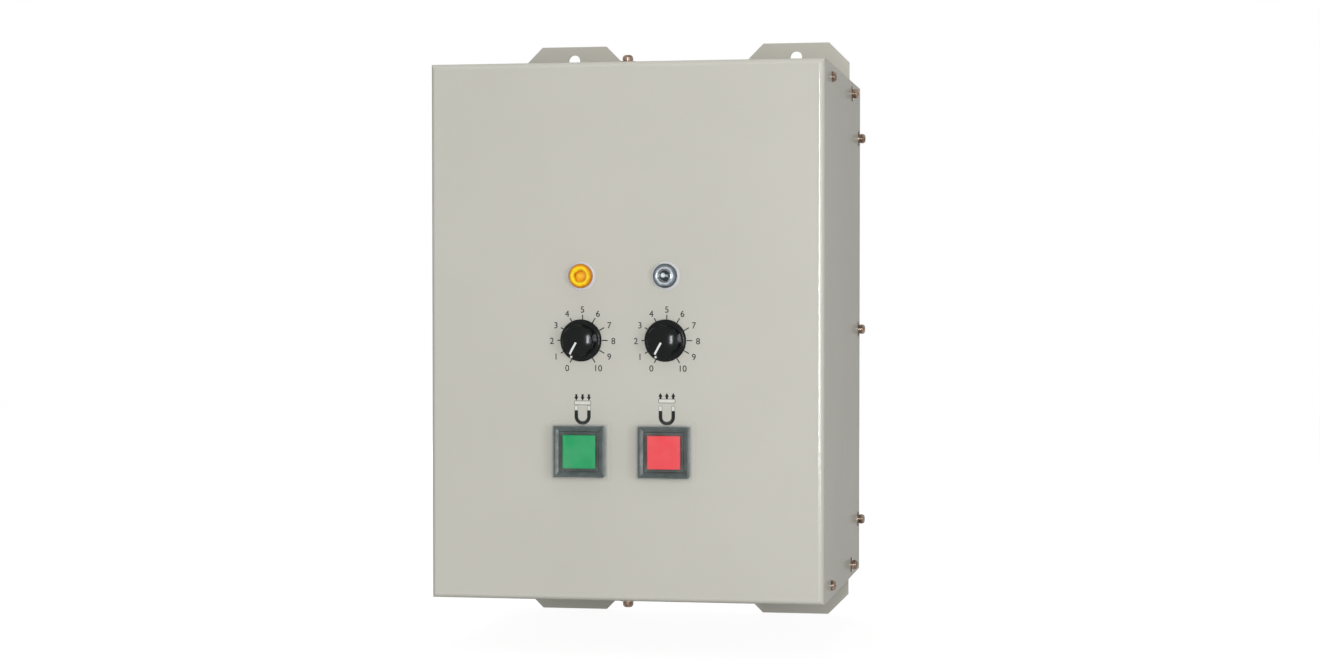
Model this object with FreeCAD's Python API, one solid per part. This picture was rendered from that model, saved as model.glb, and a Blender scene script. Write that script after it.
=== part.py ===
import FreeCAD, Part
import math
import os

# Wall-mounted control box for an electro-permanent magnetic chuck.
# Millimetres. +Z is up and the panel faces -Y. The origin is the middle of the four wall holes,
# on the plate's rear face, so the wall is the plane y = 0.

V = FreeCAD.Vector
SIDES = (-1, 1)

# How far a cutter reaches past the face that it cuts through
over = 1.0

# Case
case_w = 300.0
case_h = 405.0
case_d = 265.0
cover_sheet = 1.6
cover_bend = 4.0
frame_sheet = 1.6
frame_bend = 2.4
plate_t = 2.3
seam = 0.3
wall_gap = 0.5
lip_depth = 25.0
tray_flange = 22.0
angle_flange = 24.0

# Ears of the back plate
ear_reach = 39.5
ear_top_w = 56.0
ear_chamfer = 17.0
ear_inset = 9.0
wall_hole_r = 5.0
wall_hole_inset = 12.0

# Cover screws
screw_r = 2.0
screw_fit = 0.25
screw_len = 9.0
head_r = 4.0
head_h = 3.6
head_rim_h = 1.6
head_top_r = 2.4
head_bulge = 0.35
recess_w = 0.9
recess_len = 4.6
recess_depth = 1.7
flat_washer_r = 6.1
flat_washer_t = 0.8
spring_washer_r = 3.7
spring_washer_t = 1.1
split_w = 0.8
nut_flats = 7.0
nut_t = 3.2
front_screw_depth = 50.0
mid_screw_depth = 200.0
rear_screw_inset = 10.0
edge_screw_inset = 9.5
rear_end_inset = 18.6
lip_screw_depth = 12.0

# Control columns and rows, from the middle of the panel
column_x = 32.2
column_mid = -1.1
lamp_z = 42.0
dial_z = -6.3
button_z = -89.6

# Pilot lamps
lamp_flange_r = 11.0
lamp_flange_t = 2.0
lamp_flange_rim_h = 0.8
lamp_flange_round = 1.2
lamp_flange_bulge = 0.25
lamp_lens_r = 9.2
lamp_lens_h = 6.8
lamp_skirt_h = 1.2
lamp_shoulder_bulge = 0.7
lamp_ring_r = 7.0
lamp_lip_w = 0.6
lamp_lip_drop = 0.3
lamp_lip_bulge = 0.4
lamp_well_r = 4.6
lamp_well_depth = 2.0
lamp_pip = 0.9
lamp_body_r = 7.8
lamp_body_len = 28.0
lamp_blade_step = 3.5
lamp_blade_t = 0.8
lamp_blade_w = 4.8
lamp_blade_len = 8.0
lamp_nut_wall = 3.2
lamp_nut_t = 3.0
lamp_nut_slot = 3.0

# Dials
knob_skirt_r = 15.8
knob_skirt_h = 2.6
knob_skirt_drop = 0.5
knob_skirt_round = 2.0
knob_skirt_bulge = 0.3
knob_rim_h = 0.9
knob_grip_r = 12.5
knob_top_r = 11.9
knob_h = 13.6
knob_top_t = 4.0
knob_edge = 1.4
knob_edge_bulge = 0.3
knob_dome = 1.3
knob_lobes = 7
flute_r = 7.5
flute_cut = 1.5
knob_lift = 1.6
knob_wall = 1.8
knob_hub_r = 6.0
knob_hub_gap = 0.2
shaft_r = 3.0
shaft_flat = 0.8
shaft_into_knob = 8.5
shaft_fit = 0.05
socket_fit = 0.02
bushing_r = 4.5
bushing_len = 5.4
pot_r = 12.0
pot_depth = 11.0
pot_wall = 1.4
pot_lug_w = 2.4
pot_lug_len = 7.0
pot_lug_t = 0.8
pot_lug_pitch = 5.0
wiper_r = 9.0
wiper_t = 1.6
wiper_gap = 0.5
pot_nut_flats = 12.0
pot_nut_t = 2.0
pot_washer_r = 7.0
pot_washer_t = 0.6
grub_r = 1.5
grub_len = 6.0
grub_setback = 2.2
pointer_w = 1.5
pointer_depth = 0.5
pointer_from = 1.6
pointer_foot = 1.5
dot_r = 0.9
dot_inset = 0.6
zero_angle = 150.0

# Push buttons
bezel_w = 38.5
bezel_h = 10.0
bezel_corner = 1.6
bezel_edge = 0.8
bezel_rim = 1.5
bezel_slope_w = 2.3
bezel_slope_drop = 1.2
bezel_sill = 0.3
bezel_throat_drop = 2.6
barrel_wall = 1.2
barrel_len = 20.0
barrel_floor = 3.0
cap_w = 25.2
cap_gap = 1.3
cap_t = 3.0
cap_edge = 0.8
cap_recess = 0.4
cap_stop_gap = 1.0
lock_nut_wall = 3.5
lock_nut_t = 5.0
lock_nut_notches = 8
lock_nut_notch_r = 2.2
plunger_w = 18.5
plunger_wall = 2.0
plunger_top_t = 3.0
plunger_gap = 0.5
button_travel = 3.5
block_w = 30.0
block_len = 26.0
block_head = 8.0
block_tail = 6.0
block_step = 5.0
spring_r = 5.0
spring_wire = 0.9
spring_turns = 4
spring_gap = 1.5
spring_pocket = 6.0
stem_gap = 0.8
stem_past = 2.0
boot_wall = 1.2
boot_gap = 0.5
boot_draft = 0.5
boot_round = 1.6
boot_flange = 2.6
boot_flange_t = 1.0

# Cable entries in the bottom wall
entry_x = (-62.0, 0.0, 62.0)
entry_hole_r = (17.0, 17.0, 13.0)
entry_depth = 190.0
grommet_wall = 3.0
grommet_lip = 3.5
grommet_lip_t = 2.0
grommet_chamfer = 1.0

# Clearance between neighbouring parts on the back plate
part_gap = 7.0

# Terminal rail and power terminals at the foot of the back plate
rail_w = 35.0
rail_lip = 5.0
rail_h = 7.5
rail_t = 1.2
rail_end_gap = 4.0
rail_foot_gap = 4.0
poles = 8
pole_w = 20.0
pole_h = 40.0
pole_d = 34.0
pole_gap = 0.6
pole_well_r = 5.2
pole_well_h = 8.0
clamp_r = 4.2
clamp_h = 3.4
clamp_chamfer = 0.8
clamp_slot = 1.2

# Heatsink with two thyristor modules
sink_w = 112.0
sink_h = 120.0
sink_base = 8.0
sink_depth = 40.0
sink_fins = 12
sink_fin_t = 2.0
sink_pad = 3.0
sink_bar_w = 12.0
sink_bar_inset = 2.0
module_w = 34.0
module_l = 86.0
module_h = 26.0
module_tab = 12.0
module_shrink = 1.0
module_base_t = 4.0
module_gap = 16.0
module_hole_r = 3.2
bar_w = 14.0
bar_t = 2.0
bolt_flats = 8.0
bolt_h = 4.0

# Control transformer, its coil round the middle leg
core_w = 66.0
core_h = 55.0
core_d = 34.0
core_stack = 11.0
core_lift = 6.0
coil_gap = 0.5
coil_over = 9.0
coil_round = 3.0
foot_hold = 6.0
foot_reach = 12.0

# Fuses above the transformer
fuse_r = 7.0
fuse_len = 42.0
fuse_lift = 19.0
fuse_pitch = 22.0
fuse_base_w = 18.0
fuse_base_l = 46.0
fuse_base_t = 10.0
fuse_clip_w = 16.0
fuse_clip_l = 6.0
fuse_clip_inset = 3.0
fuse_fit = 0.05

# Control board on pillars, clear of the side angles
board_w = 196.0
board_h = 98.0
board_t = 1.6
board_lift = 27.0
board_inset = 6.0
board_screw_r = 1.5
board_screw_fit = 0.2
board_screw_len = 6.0
board_head_r = 2.8
board_head_h = 2.1
board_head_rim_h = 1.0
board_head_top_r = 1.6
spacer_flats = 7.0
capacitor_r = 11.0
capacitor_len = 40.0
capacitor_pitch = 25.0
capacitor_groove = 0.8
capacitor_bead = 3.0
relay_w = 13.0
relay_h = 29.0
relay_d = 25.5
relay_pitch = 18.0
board_row = 24.0
header_lengths = (30.0, 40.0, 50.0)
header_w = 9.0
header_h = 11.0
header_wall = 1.0
header_floor = 3.0
header_gap = 6.0
header_inset = 10.0

# Earth stud
stud_r = 2.5
stud_len = 14.0
stud_inset = 12.0

# Derived planes
front = -case_d
panel_in = front + cover_sheet
half_w = case_w / 2
half_h = case_h / 2
frame_half_w = half_w - cover_sheet - seam
frame_half_h = half_h - cover_sheet - seam
frame_front = panel_in + cover_bend - cover_sheet
plate_face = -plate_t
inner_half_w = frame_half_w - angle_flange
inner_half_h = frame_half_h - tray_flange
ear_side = half_w - ear_inset
ear_mid = ear_side - ear_chamfer - ear_top_w / 2
ear_inner = ear_side - 2 * ear_chamfer - ear_top_w
ear_top = half_h + ear_reach
wall_hole_z = ear_top - wall_hole_inset
side_screw_z = half_h - edge_screw_inset
rear_screw_z = inner_half_h - rear_end_inset
washers_t = flat_washer_t + spring_washer_t

# Derived sizes of the controls
lamp_nut_r = lamp_body_r + lamp_nut_wall
bushing_tip = front - bushing_len
knob_base = front - knob_lift
knob_hub_from = bushing_len - knob_lift + knob_hub_gap
shaft_tip = knob_base - shaft_into_knob
barrel_r = (plunger_w / 2 + plunger_gap) * math.sqrt(2) + barrel_wall
lock_nut_r = barrel_r + lock_nut_wall
housing_seat = front - boot_flange_t
housing_face = housing_seat - bezel_h
barrel_end = housing_seat + barrel_len
plunger_top = housing_face + cap_recess + cap_t
spring_seat = barrel_end + spring_pocket

# Derived places on the back plate, from the foot up
rail_len = 2 * (inner_half_w - rail_end_gap)
rail_z = -inner_half_h + rail_w / 2 + rail_foot_gap
rail_face = plate_face - rail_h
above_poles = rail_z + pole_h / 2 + part_gap
sink_x = -inner_half_w + part_gap + sink_w / 2
sink_z = above_poles + sink_h / 2
sink_face = plate_face - sink_pad - sink_depth
module_step = (module_w + module_gap) / 2
module_face = sink_face - module_h
bar_pitch = module_l / 4
core_x = inner_half_w - foot_reach / 2 - core_w / 2
core_z = above_poles + foot_reach + core_h / 2
core_back = plate_face - core_lift
core_front = core_back - core_d
fuse_z = core_z + core_h / 2 + foot_reach + part_gap + fuse_base_l / 2
fuse_axis_y = plate_face - fuse_lift
board_z = max(sink_z + sink_h / 2, fuse_z + fuse_base_l / 2) + part_gap + board_h / 2
board_back = plate_face - board_lift
board_face = board_back - board_t


def column(side):
    """Middle line of a control column."""
    return column_mid + side * column_x


def block(x0, x1, y0, y1, z0, z1):
    """Box between two corners."""
    return Part.makeBox(x1 - x0, y1 - y0, z1 - z0, V(x0, y0, z0))


def pad(x, z, w, h, y0, y1):
    """Box with its middle at (x, z), from y0 to y1."""
    return block(x - w / 2, x + w / 2, y0, y1, z - h / 2, z + h / 2)


def rod(radius, x, z, y0, y1):
    """Round bar along Y."""
    return Part.makeCylinder(radius, y1 - y0, V(x, y0, z), V(0, 1, 0))


def outline_wire(outline, place):
    """Closed wire through (r, h) points; a third number makes an arc that bulges out by it."""
    edges = []
    for last, step in zip(outline[-1:] + outline[:-1], outline):
        r0, h0 = last[:2]
        r1, h1 = step[:2]
        if len(step) == 3:
            share = step[2] / math.hypot(r1 - r0, h1 - h0)
            middle = place((r0 + r1) / 2 + (h1 - h0) * share, (h0 + h1) / 2 - (r1 - r0) * share)
            edges.append(Part.Arc(place(r0, h0), middle, place(r1, h1)).toShape())
        else:
            edges.append(Part.LineSegment(place(r0, h0), place(r1, h1)).toShape())
    return Part.Wire(edges)


def crown(radius, level, rise):
    """Arc point for a spherical crown, from its rim at (radius, level) to its top on the axis."""
    ball = (radius ** 2 + rise ** 2) / (2 * rise)
    chord = math.hypot(radius, rise)
    return (0, level + rise, ball - math.sqrt(ball ** 2 - chord ** 2 / 4))


def turned(outline, x, z, base_y):
    """Revolved solid on the Y line through (x, z); heights run from base_y towards the viewer."""
    wire = outline_wire(outline, lambda r, h: V(x + r, base_y - h, z))
    return Part.Face(wire).revolve(V(x, base_y, z), V(0, 1, 0), 360)


def upright(outline):
    """Revolved solid on the Z axis, from (radius, height) points."""
    wire = outline_wire(outline, lambda r, h: V(r, 0, h))
    return Part.Face(wire).revolve(V(0, 0, 0), V(0, 0, 1), 360)


def hexagon(flats, height):
    """Hexagonal prism on the Z axis with a flat towards +X."""
    corner = flats / 2 / math.cos(math.pi / 6)
    turns = [math.pi / 6 + i * math.pi / 3 for i in range(7)]
    points = [V(corner * math.cos(a), corner * math.sin(a), 0) for a in turns]
    return Part.Face(Part.makePolygon(points)).extrude(V(0, 0, height))


def placed(shape, at, toward):
    """Copy of a shape drawn on +Z, moved to a point and turned to face a direction."""
    copy = shape.copy()
    copy.Placement = FreeCAD.Placement(at, FreeCAD.Rotation(V(0, 0, 1), toward))
    return copy


def group(shapes):
    """Separate solids that share one node."""
    return Part.makeCompound(shapes)


def near(value, target):
    return abs(value - target) < 1e-3


def edges_where(shape, test):
    """Edges whose two ends and middle all pass a test on the point."""
    chosen = []
    for edge in shape.Edges:
        first, last = edge.ParameterRange
        points = [edge.valueAt(t) for t in (first, (first + last) / 2, last)]
        if all(test(p) for p in points):
            chosen.append(edge)
    return chosen


def corner_posts(shape, x, z, w, h):
    """The four edges along Y at the corners of a rectangle round (x, z)."""
    return edges_where(shape, lambda p: near(abs(p.x - x), w / 2) and near(abs(p.z - z), h / 2))


def save(name, shape):
    """Write one node after checking that its solids are sound."""
    if not shape.isValid() or not shape.Solids:
        raise ValueError(name + " is not a sound solid")
    shape.exportStep("parts/" + name + ".step")


def case_screws():
    """Every cover screw as (seat point, outward direction, has washers)."""
    seats = []
    for side in SIDES:
        x = side * half_w
        out = V(side, 0, 0)
        for up in SIDES:
            seats.append((V(x, front + front_screw_depth, up * side_screw_z), out, False))
            seats.append((V(x, front + mid_screw_depth, up * side_screw_z), out, True))
        for step in (-1, 0, 1):
            seats.append((V(x, -rear_screw_inset, step * rear_screw_z), out, True))
    for up in SIDES:
        seats.append((V(0, front + lip_screw_depth, up * half_h), V(0, 0, up), True))
    return seats


def screw_holes():
    """Cutters for the screw holes, long enough for the cover and the sheet behind it."""
    reach = 2 * (cover_sheet + seam + frame_sheet)
    return group([Part.makeCylinder(screw_r + screw_fit, reach, seat + out * (reach / 4), out * -1)
                  for seat, out, _ in case_screws()])


def sheet_tray(low, high, sheet, bend, axis, level):
    """Bent sheet box, open on the side of one axis that level names, with bends round its floor."""
    inner_low = [value + sheet for value in low]
    inner_high = [value - sheet for value in high]
    floor, floor_in = low[axis], inner_low[axis]
    if level > 0:
        inner_high[axis] = high[axis] + over
    else:
        floor, floor_in = high[axis], inner_high[axis]
        inner_low[axis] = low[axis] - over
    outer = block(low[0], high[0], low[1], high[1], low[2], high[2])
    inner = block(inner_low[0], inner_high[0], inner_low[1], inner_high[1], inner_low[2], inner_high[2])
    outer = outer.makeFillet(bend, edges_where(outer, lambda p: near(p[axis], floor)))
    inner = inner.makeFillet(bend - sheet, edges_where(inner, lambda p: near(p[axis], floor_in)))
    return outer.cut(inner)


def back_plate():
    """Flat steel plate with a hanging ear at each corner, chamfered at 45 degrees."""
    plate = block(-frame_half_w, frame_half_w, plate_face, 0, -frame_half_h, frame_half_h)
    c = ear_chamfer
    root = frame_half_h - over
    shape = [(ear_inner, root), (ear_inner, ear_top - c), (ear_inner + c, ear_top),
             (ear_side - c, ear_top), (ear_side, ear_top - c), (ear_side, root)]
    holes = []
    for side in SIDES:
        for up in SIDES:
            points = [V(side * x, plate_face, up * z) for x, z in shape + shape[:1]]
            plate = plate.fuse(Part.Face(Part.makePolygon(points)).extrude(V(0, plate_t, 0)))
            holes.append(rod(wall_hole_r, side * ear_mid, up * wall_hole_z, plate_face - over, over))
    return plate.removeSplitter().cut(group(holes))


def end_wall(up):
    """Top or bottom wall of the chassis: a shallow tray whose flanges take the cover screws."""
    z0, z1 = sorted((up * frame_half_h, up * inner_half_h))
    tray = sheet_tray((-frame_half_w, frame_front, z0), (frame_half_w, plate_face, z1),
                      frame_sheet, frame_bend, 2, -up)
    relief = frame_sheet + frame_bend
    shift = -up * relief
    for side in SIDES:
        x = side * frame_half_w
        for y in (frame_front, plate_face):
            tray = tray.cut(block(x - relief, x + relief, y - relief, y + relief, z0 + shift, z1 + shift))
    return tray.cut(screw_holes())


def bottom_wall():
    """Bottom wall with a round hole for each cable grommet."""
    wall = end_wall(-1)
    for x, radius in zip(entry_x, entry_hole_r):
        under = V(x, front + entry_depth, -frame_half_h - over)
        wall = wall.cut(Part.makeCylinder(radius, frame_sheet + 2 * over, under))
    return wall


def side_angle(side):
    """Upright angle on the plate's edge that the rear row of cover screws bites into."""
    half = inner_half_h - seam
    x0, x1 = sorted((side * frame_half_w, side * inner_half_w))
    outer = block(x0, x1, plate_face - angle_flange, plate_face, -half, half)
    heel_x = side * frame_half_w
    throat_x = side * (frame_half_w - frame_sheet)
    throat_y = plate_face - frame_sheet
    x0, x1 = sorted((throat_x, side * (inner_half_w - over)))
    inner = block(x0, x1, plate_face - angle_flange - over, throat_y, -half - over, half + over)
    heel = edges_where(outer, lambda p: near(p.x, heel_x) and near(p.y, plate_face))
    throat = edges_where(inner, lambda p: near(p.x, throat_x) and near(p.y, throat_y))
    outer = outer.makeFillet(frame_bend, heel)
    inner = inner.makeFillet(frame_bend - frame_sheet, throat)
    return outer.cut(inner).cut(screw_holes())


def front_cover():
    """Front panel with full-depth sides and shorter top and bottom lips, bent from one sheet."""
    cover = sheet_tray((-half_w, front, -half_h), (half_w, -wall_gap, half_h), cover_sheet, cover_bend, 1, 1)
    open_half = half_w - cover_sheet
    for up in SIDES:
        z0, z1 = sorted((up * (half_h - cover_sheet), up * (half_h + over)))
        cover = cover.cut(block(-open_half, open_half, front + lip_depth, 0, z0, z1))
    holes = []
    for side in SIDES:
        for radius, z in ((lamp_body_r, lamp_z), (bushing_r, dial_z), (barrel_r, button_z)):
            holes.append(rod(radius + seam, column(side), z, front - over, panel_in + over))
    return cover.cut(group(holes)).cut(screw_holes())


def cover_screws():
    """Pan-head screws with a cross recess."""
    body = upright([(0, -screw_len), (screw_r, -screw_len), (screw_r, 0), (head_r, 0), (head_r, head_rim_h),
                    (head_top_r, head_h, head_bulge), (0, head_h)])
    floor = head_h - recess_depth
    for long_x, long_y in ((recess_len, recess_w), (recess_w, recess_len)):
        body = body.cut(block(-long_x / 2, long_x / 2, -long_y / 2, long_y / 2, floor, head_h + over))
    return group([placed(body, at + out * (washers_t if washed else 0), out)
                  for at, out, washed in case_screws()])


def washer(outer_r, thick):
    ring = Part.makeCylinder(outer_r, thick)
    return ring.cut(Part.makeCylinder(screw_r + screw_fit, thick))


def flat_washers():
    """Large plain washers against the paint."""
    ring = washer(flat_washer_r, flat_washer_t)
    return group([placed(ring, at, out) for at, out, washed in case_screws() if washed])


def spring_washers():
    """Split washers under the screw heads."""
    ring = washer(spring_washer_r, spring_washer_t)
    ring = ring.cut(block(0, spring_washer_r + over, -split_w / 2, split_w / 2, 0, spring_washer_t))
    return group([placed(ring, at + out * flat_washer_t, out)
                  for at, out, washed in case_screws() if washed])


def weld_nuts():
    """Hexagonal nuts welded behind the frame's flanges."""
    nut = hexagon(nut_flats, nut_t).cut(Part.makeCylinder(screw_r + screw_fit, nut_t))
    depth = cover_sheet + seam + frame_sheet + nut_t
    return group([placed(nut, at - out * depth, out) for at, out, _ in case_screws()])


def cable_grommets():
    """Rubber rings with a groove that grips the bottom wall."""
    rings = []
    t, s = grommet_lip_t, frame_sheet
    for x, hole_r in zip(entry_x, entry_hole_r):
        bore_r = hole_r - grommet_wall
        lip_r = hole_r + grommet_lip
        nose_r = lip_r - grommet_chamfer
        ring = upright([(bore_r, -t), (nose_r, -t), (lip_r, 0), (hole_r, 0), (hole_r, s),
                        (lip_r, s), (nose_r, s + t), (bore_r, s + t)])
        rings.append(placed(ring, V(x, front + entry_depth, -frame_half_h), V(0, 0, 1)))
    return group(rings)


def lamp_bezels():
    """Clear collars that sit on the panel round each lens."""
    r, t, hole = lamp_flange_r, lamp_flange_t, lamp_body_r
    outline = [(hole, 0), (r, 0), (r, lamp_flange_rim_h), (r - lamp_flange_round, t, lamp_flange_bulge),
               (hole, t)]
    return group([turned(outline, column(side), lamp_z, front) for side in SIDES])


def lamp_lens(side):
    """Moulded lens with a raised ring round a shallow well."""
    r, h, foot = lamp_lens_r, lamp_lens_h, lamp_flange_t
    floor = h - lamp_well_depth
    outline = [(0, foot), (r, foot), (r, foot + lamp_skirt_h), (lamp_ring_r, h, lamp_shoulder_bulge),
               (lamp_well_r + lamp_lip_w, h - lamp_lip_drop, lamp_lip_bulge), (lamp_well_r, floor),
               crown(lamp_well_r, floor, lamp_pip)]
    return turned(outline, column(side), lamp_z, front)


def lamp_bodies():
    """Round lamp holders through the panel, with two blade terminals."""
    solids = []
    head = front - lamp_flange_t
    tail = head + lamp_body_len
    tip = tail + lamp_blade_len
    for side in SIDES:
        x = column(side)
        body = rod(lamp_body_r, x, lamp_z, head, tail)
        for blade in SIDES:
            blade_x = x + blade * lamp_blade_step
            body = body.fuse(pad(blade_x, lamp_z, lamp_blade_t, lamp_blade_w, tail - over, tip))
        solids.append(body)
    return group(solids)


def lamp_nuts():
    """Ring nuts behind the panel, slotted on their rear face."""
    nuts = []
    rear = panel_in + lamp_nut_t
    slot_len = 2 * (lamp_nut_r + over)
    for side in SIDES:
        x = column(side)
        ring = rod(lamp_nut_r, x, lamp_z, panel_in, rear)
        for w, h in ((slot_len, lamp_nut_slot), (lamp_nut_slot, slot_len)):
            ring = ring.cut(pad(x, lamp_z, w, h, rear - lamp_nut_t / 2, rear + over))
        nuts.append(ring.cut(rod(lamp_body_r, x, lamp_z, panel_in, rear)))
    return group(nuts)


def potentiometers():
    """Dial potentiometers: a can behind the panel, a bushing through it and three lugs."""
    solids = []
    rear = panel_in + pot_depth
    floor = panel_in + pot_wall
    for side in SIDES:
        x = column(side)
        can = rod(pot_r, x, dial_z, panel_in, rear)
        can = can.fuse(rod(bushing_r, x, dial_z, bushing_tip, floor))
        can = can.cut(rod(pot_r - pot_wall, x, dial_z, floor, rear - pot_wall))
        can = can.cut(rod(shaft_r + shaft_fit, x, dial_z, bushing_tip, floor + over))
        for step in (-1, 0, 1):
            can = can.fuse(pad(x + step * pot_lug_pitch, dial_z - pot_r - pot_lug_len / 2 + pot_wall,
                               pot_lug_w, pot_lug_len, rear - pot_wall, rear - pot_wall + pot_lug_t))
        solids.append(can)
    return group(solids)


def pot_washers():
    """Thin washers between the panel and the bushing nuts."""
    rings = []
    for side in SIDES:
        x = column(side)
        ring = rod(pot_washer_r, x, dial_z, front - pot_washer_t, front)
        rings.append(ring.cut(rod(bushing_r, x, dial_z, front - pot_washer_t, front)))
    return group(rings)


def pot_nuts():
    """Hexagonal bushing nuts hidden under the knobs."""
    nut = hexagon(pot_nut_flats, pot_nut_t).cut(Part.makeCylinder(bushing_r, pot_nut_t))
    seat = front - pot_washer_t
    return group([placed(nut, V(column(side), seat, dial_z), V(0, -1, 0)) for side in SIDES])


def to_zero(shape, x):
    """Turn what is drawn straight up on a dial to the dial's zero."""
    shape.rotate(V(x, 0, dial_z), V(0, 1, 0), -zero_angle)
    return shape


def dial_shaft(side):
    """Flatted shaft with the wiper disc inside the can."""
    x = column(side)
    disc = panel_in + pot_wall + wiper_gap
    shaft = rod(shaft_r, x, dial_z, shaft_tip, disc + wiper_t)
    shaft = shaft.fuse(rod(wiper_r, x, dial_z, disc, disc + wiper_t))
    flat = pad(x, dial_z + 2 * shaft_r - shaft_flat, 2 * shaft_r, 2 * shaft_r, shaft_tip, bushing_tip)
    return shaft.cut(to_zero(flat, x)).removeSplitter()


def knob_outline(inset):
    """Skirt, cone and crowned top of the knob, or the same line drawn inside its skin."""
    skirt = knob_skirt_r - inset
    grip = knob_grip_r - inset
    top_r = knob_top_r - inset
    skirt_h = knob_skirt_h - inset
    top = knob_h - inset
    return [(0, 0), (skirt, 0), (skirt, knob_rim_h - inset),
            (skirt - knob_skirt_round, skirt_h - knob_skirt_drop, knob_skirt_bulge), (grip, skirt_h),
            (top_r, top - knob_edge), (top_r - knob_edge, top, knob_edge_bulge),
            crown(top_r - knob_edge, top, knob_dome)]


def grub_way(x):
    """Cross hole for the grub screw, from the shaft out through the grip."""
    return to_zero(Part.makeCylinder(grub_r, 2 * knob_grip_r, V(x, shaft_tip + grub_setback, dial_z)), x)


def knob_blank(x):
    """Knob without its pointer groove: skirt, fluted grip, crowned top and hollow underside."""
    body = turned(knob_outline(0), x, dial_z, knob_base)
    reach = knob_grip_r + flute_r - flute_cut
    for i in range(knob_lobes):
        turn = math.radians(360.0 * (i + 0.5) / knob_lobes + zero_angle)
        foot = V(x - reach * math.sin(turn), knob_base - knob_skirt_h, dial_z + reach * math.cos(turn))
        body = body.cut(Part.makeCylinder(flute_r, 2 * knob_h, foot, V(0, -1, 0)))
    well = knob_skirt_r - 2 * knob_wall
    grip_well = knob_grip_r - flute_cut - knob_wall
    ceiling = knob_h - knob_top_t
    underside = turned([(0, -over), (well, -over), (well, knob_rim_h), (grip_well, knob_hub_from),
                        (grip_well, ceiling), (knob_hub_r, ceiling), (knob_hub_r, knob_hub_from),
                        (0, knob_hub_from)], x, dial_z, knob_base)
    socket = rod(shaft_r + socket_fit, x, dial_z, shaft_tip, knob_base)
    return body.cut(underside).cut(socket).cut(grub_way(x))


def pointer_marks(x):
    """Space of the white line on one lobe and the dot on the skirt."""
    half = pointer_w / 2
    line = block(x - half, x + half, knob_base - knob_h - knob_dome - over,
                 knob_base - knob_skirt_h - pointer_foot, dial_z + pointer_from, dial_z + knob_skirt_r)
    dot_z = dial_z + knob_skirt_r - dot_r - dot_inset
    dot = rod(dot_r, x, dot_z, knob_base - knob_skirt_h - over, knob_base)
    return to_zero(group([line, dot]), x)


def knob_parts(side):
    """Knob with its pointer groove, and the white line and dot that fill it."""
    x = column(side)
    blank = knob_blank(x)
    groove = pointer_marks(x).cut(turned(knob_outline(pointer_depth), x, dial_z, knob_base))
    return blank.cut(groove), blank.common(groove)


def knob_grub(side):
    """Grub screw that holds the knob on its shaft's flat."""
    x = column(side)
    y = shaft_tip + grub_setback
    start = dial_z + shaft_r - shaft_flat
    grub = Part.makeCylinder(grub_r, grub_len, V(x, y, start))
    key = Part.makeCylinder(grub_r / 2, grub_r, V(x, y, start + grub_len - grub_r))
    return to_zero(grub.cut(key), x)


def square_loft(x, w0, y0, w1, y1):
    """Square frustum between two levels."""
    wires = []
    for w, y in ((w0, y0), (w1, y1)):
        corners = [V(x + a * w / 2, y, button_z + b * w / 2)
                   for a, b in ((-1, -1), (1, -1), (1, 1), (-1, 1), (-1, -1))]
        wires.append(Part.makePolygon(corners))
    return Part.makeLoft(wires, True, True)


def button_housing(side):
    """Square bezel that slopes to a throat round the cap, and the barrel that passes the panel."""
    x = column(side)
    body = pad(x, button_z, bezel_w, bezel_w, housing_face, housing_seat)
    body = body.makeFillet(bezel_corner, corner_posts(body, x, button_z, bezel_w, bezel_w))
    body = body.makeFillet(bezel_edge, edges_where(body, lambda p: near(p.y, housing_face)))
    body = body.fuse(rod(barrel_r, x, button_z, housing_seat - over, barrel_end))
    window = cap_w + 2 * cap_gap
    throat_w = bezel_w - 2 * (bezel_rim + bezel_slope_w)
    throat = housing_face + bezel_slope_drop
    dish = square_loft(x, bezel_w - 2 * bezel_rim, housing_face, throat_w, throat)
    dish = dish.fuse(square_loft(x, throat_w, throat, window + 2 * bezel_sill, throat + bezel_throat_drop))
    well_floor = plunger_top + button_travel + cap_stop_gap
    well = pad(x, button_z, window, window, housing_face, well_floor)
    guide_w = plunger_w + 2 * plunger_gap
    guide = pad(x, button_z, guide_w, guide_w, well_floor - over, barrel_end - barrel_floor)
    spring_way = rod(spring_r + spring_gap, x, button_z, well_floor, barrel_end + over)
    return body.cut(dish).cut(well).cut(guide).cut(spring_way).removeSplitter()


def lock_nuts():
    """Ring nuts that clamp the button housings from behind."""
    nuts = []
    rear = panel_in + lock_nut_t
    for side in SIDES:
        x = column(side)
        ring = rod(lock_nut_r, x, button_z, panel_in, rear)
        ring = ring.cut(rod(barrel_r, x, button_z, panel_in, rear))
        for i in range(lock_nut_notches):
            turn = 2 * math.pi * i / lock_nut_notches
            notch_x = x + lock_nut_r * math.cos(turn)
            notch_z = button_z + lock_nut_r * math.sin(turn)
            ring = ring.cut(rod(lock_nut_notch_r, notch_x, notch_z, panel_in, rear))
        nuts.append(ring)
    return group(nuts)


def contact_blocks():
    """Switch blocks on the rear of the barrels, stepped on both sides for the terminals."""
    solids = []
    for side in SIDES:
        x = column(side)
        body = pad(x, button_z, block_w, block_w, barrel_end, barrel_end + block_len)
        for a in SIDES:
            body = body.cut(pad(x + a * block_w / 2, button_z, 2 * block_step, block_w * 2 / 3,
                                barrel_end + block_head, barrel_end + block_len - block_tail))
        solids.append(body.cut(rod(spring_r + spring_gap, x, button_z, barrel_end, spring_seat)))
    return group(solids)


def button_cap(side):
    """Coloured cap with softened edges."""
    x = column(side)
    cap = pad(x, button_z, cap_w, cap_w, plunger_top - cap_t, plunger_top)
    return cap.makeFillet(cap_edge, edges_where(cap, lambda p: not near(p.y, plunger_top)))


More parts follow.
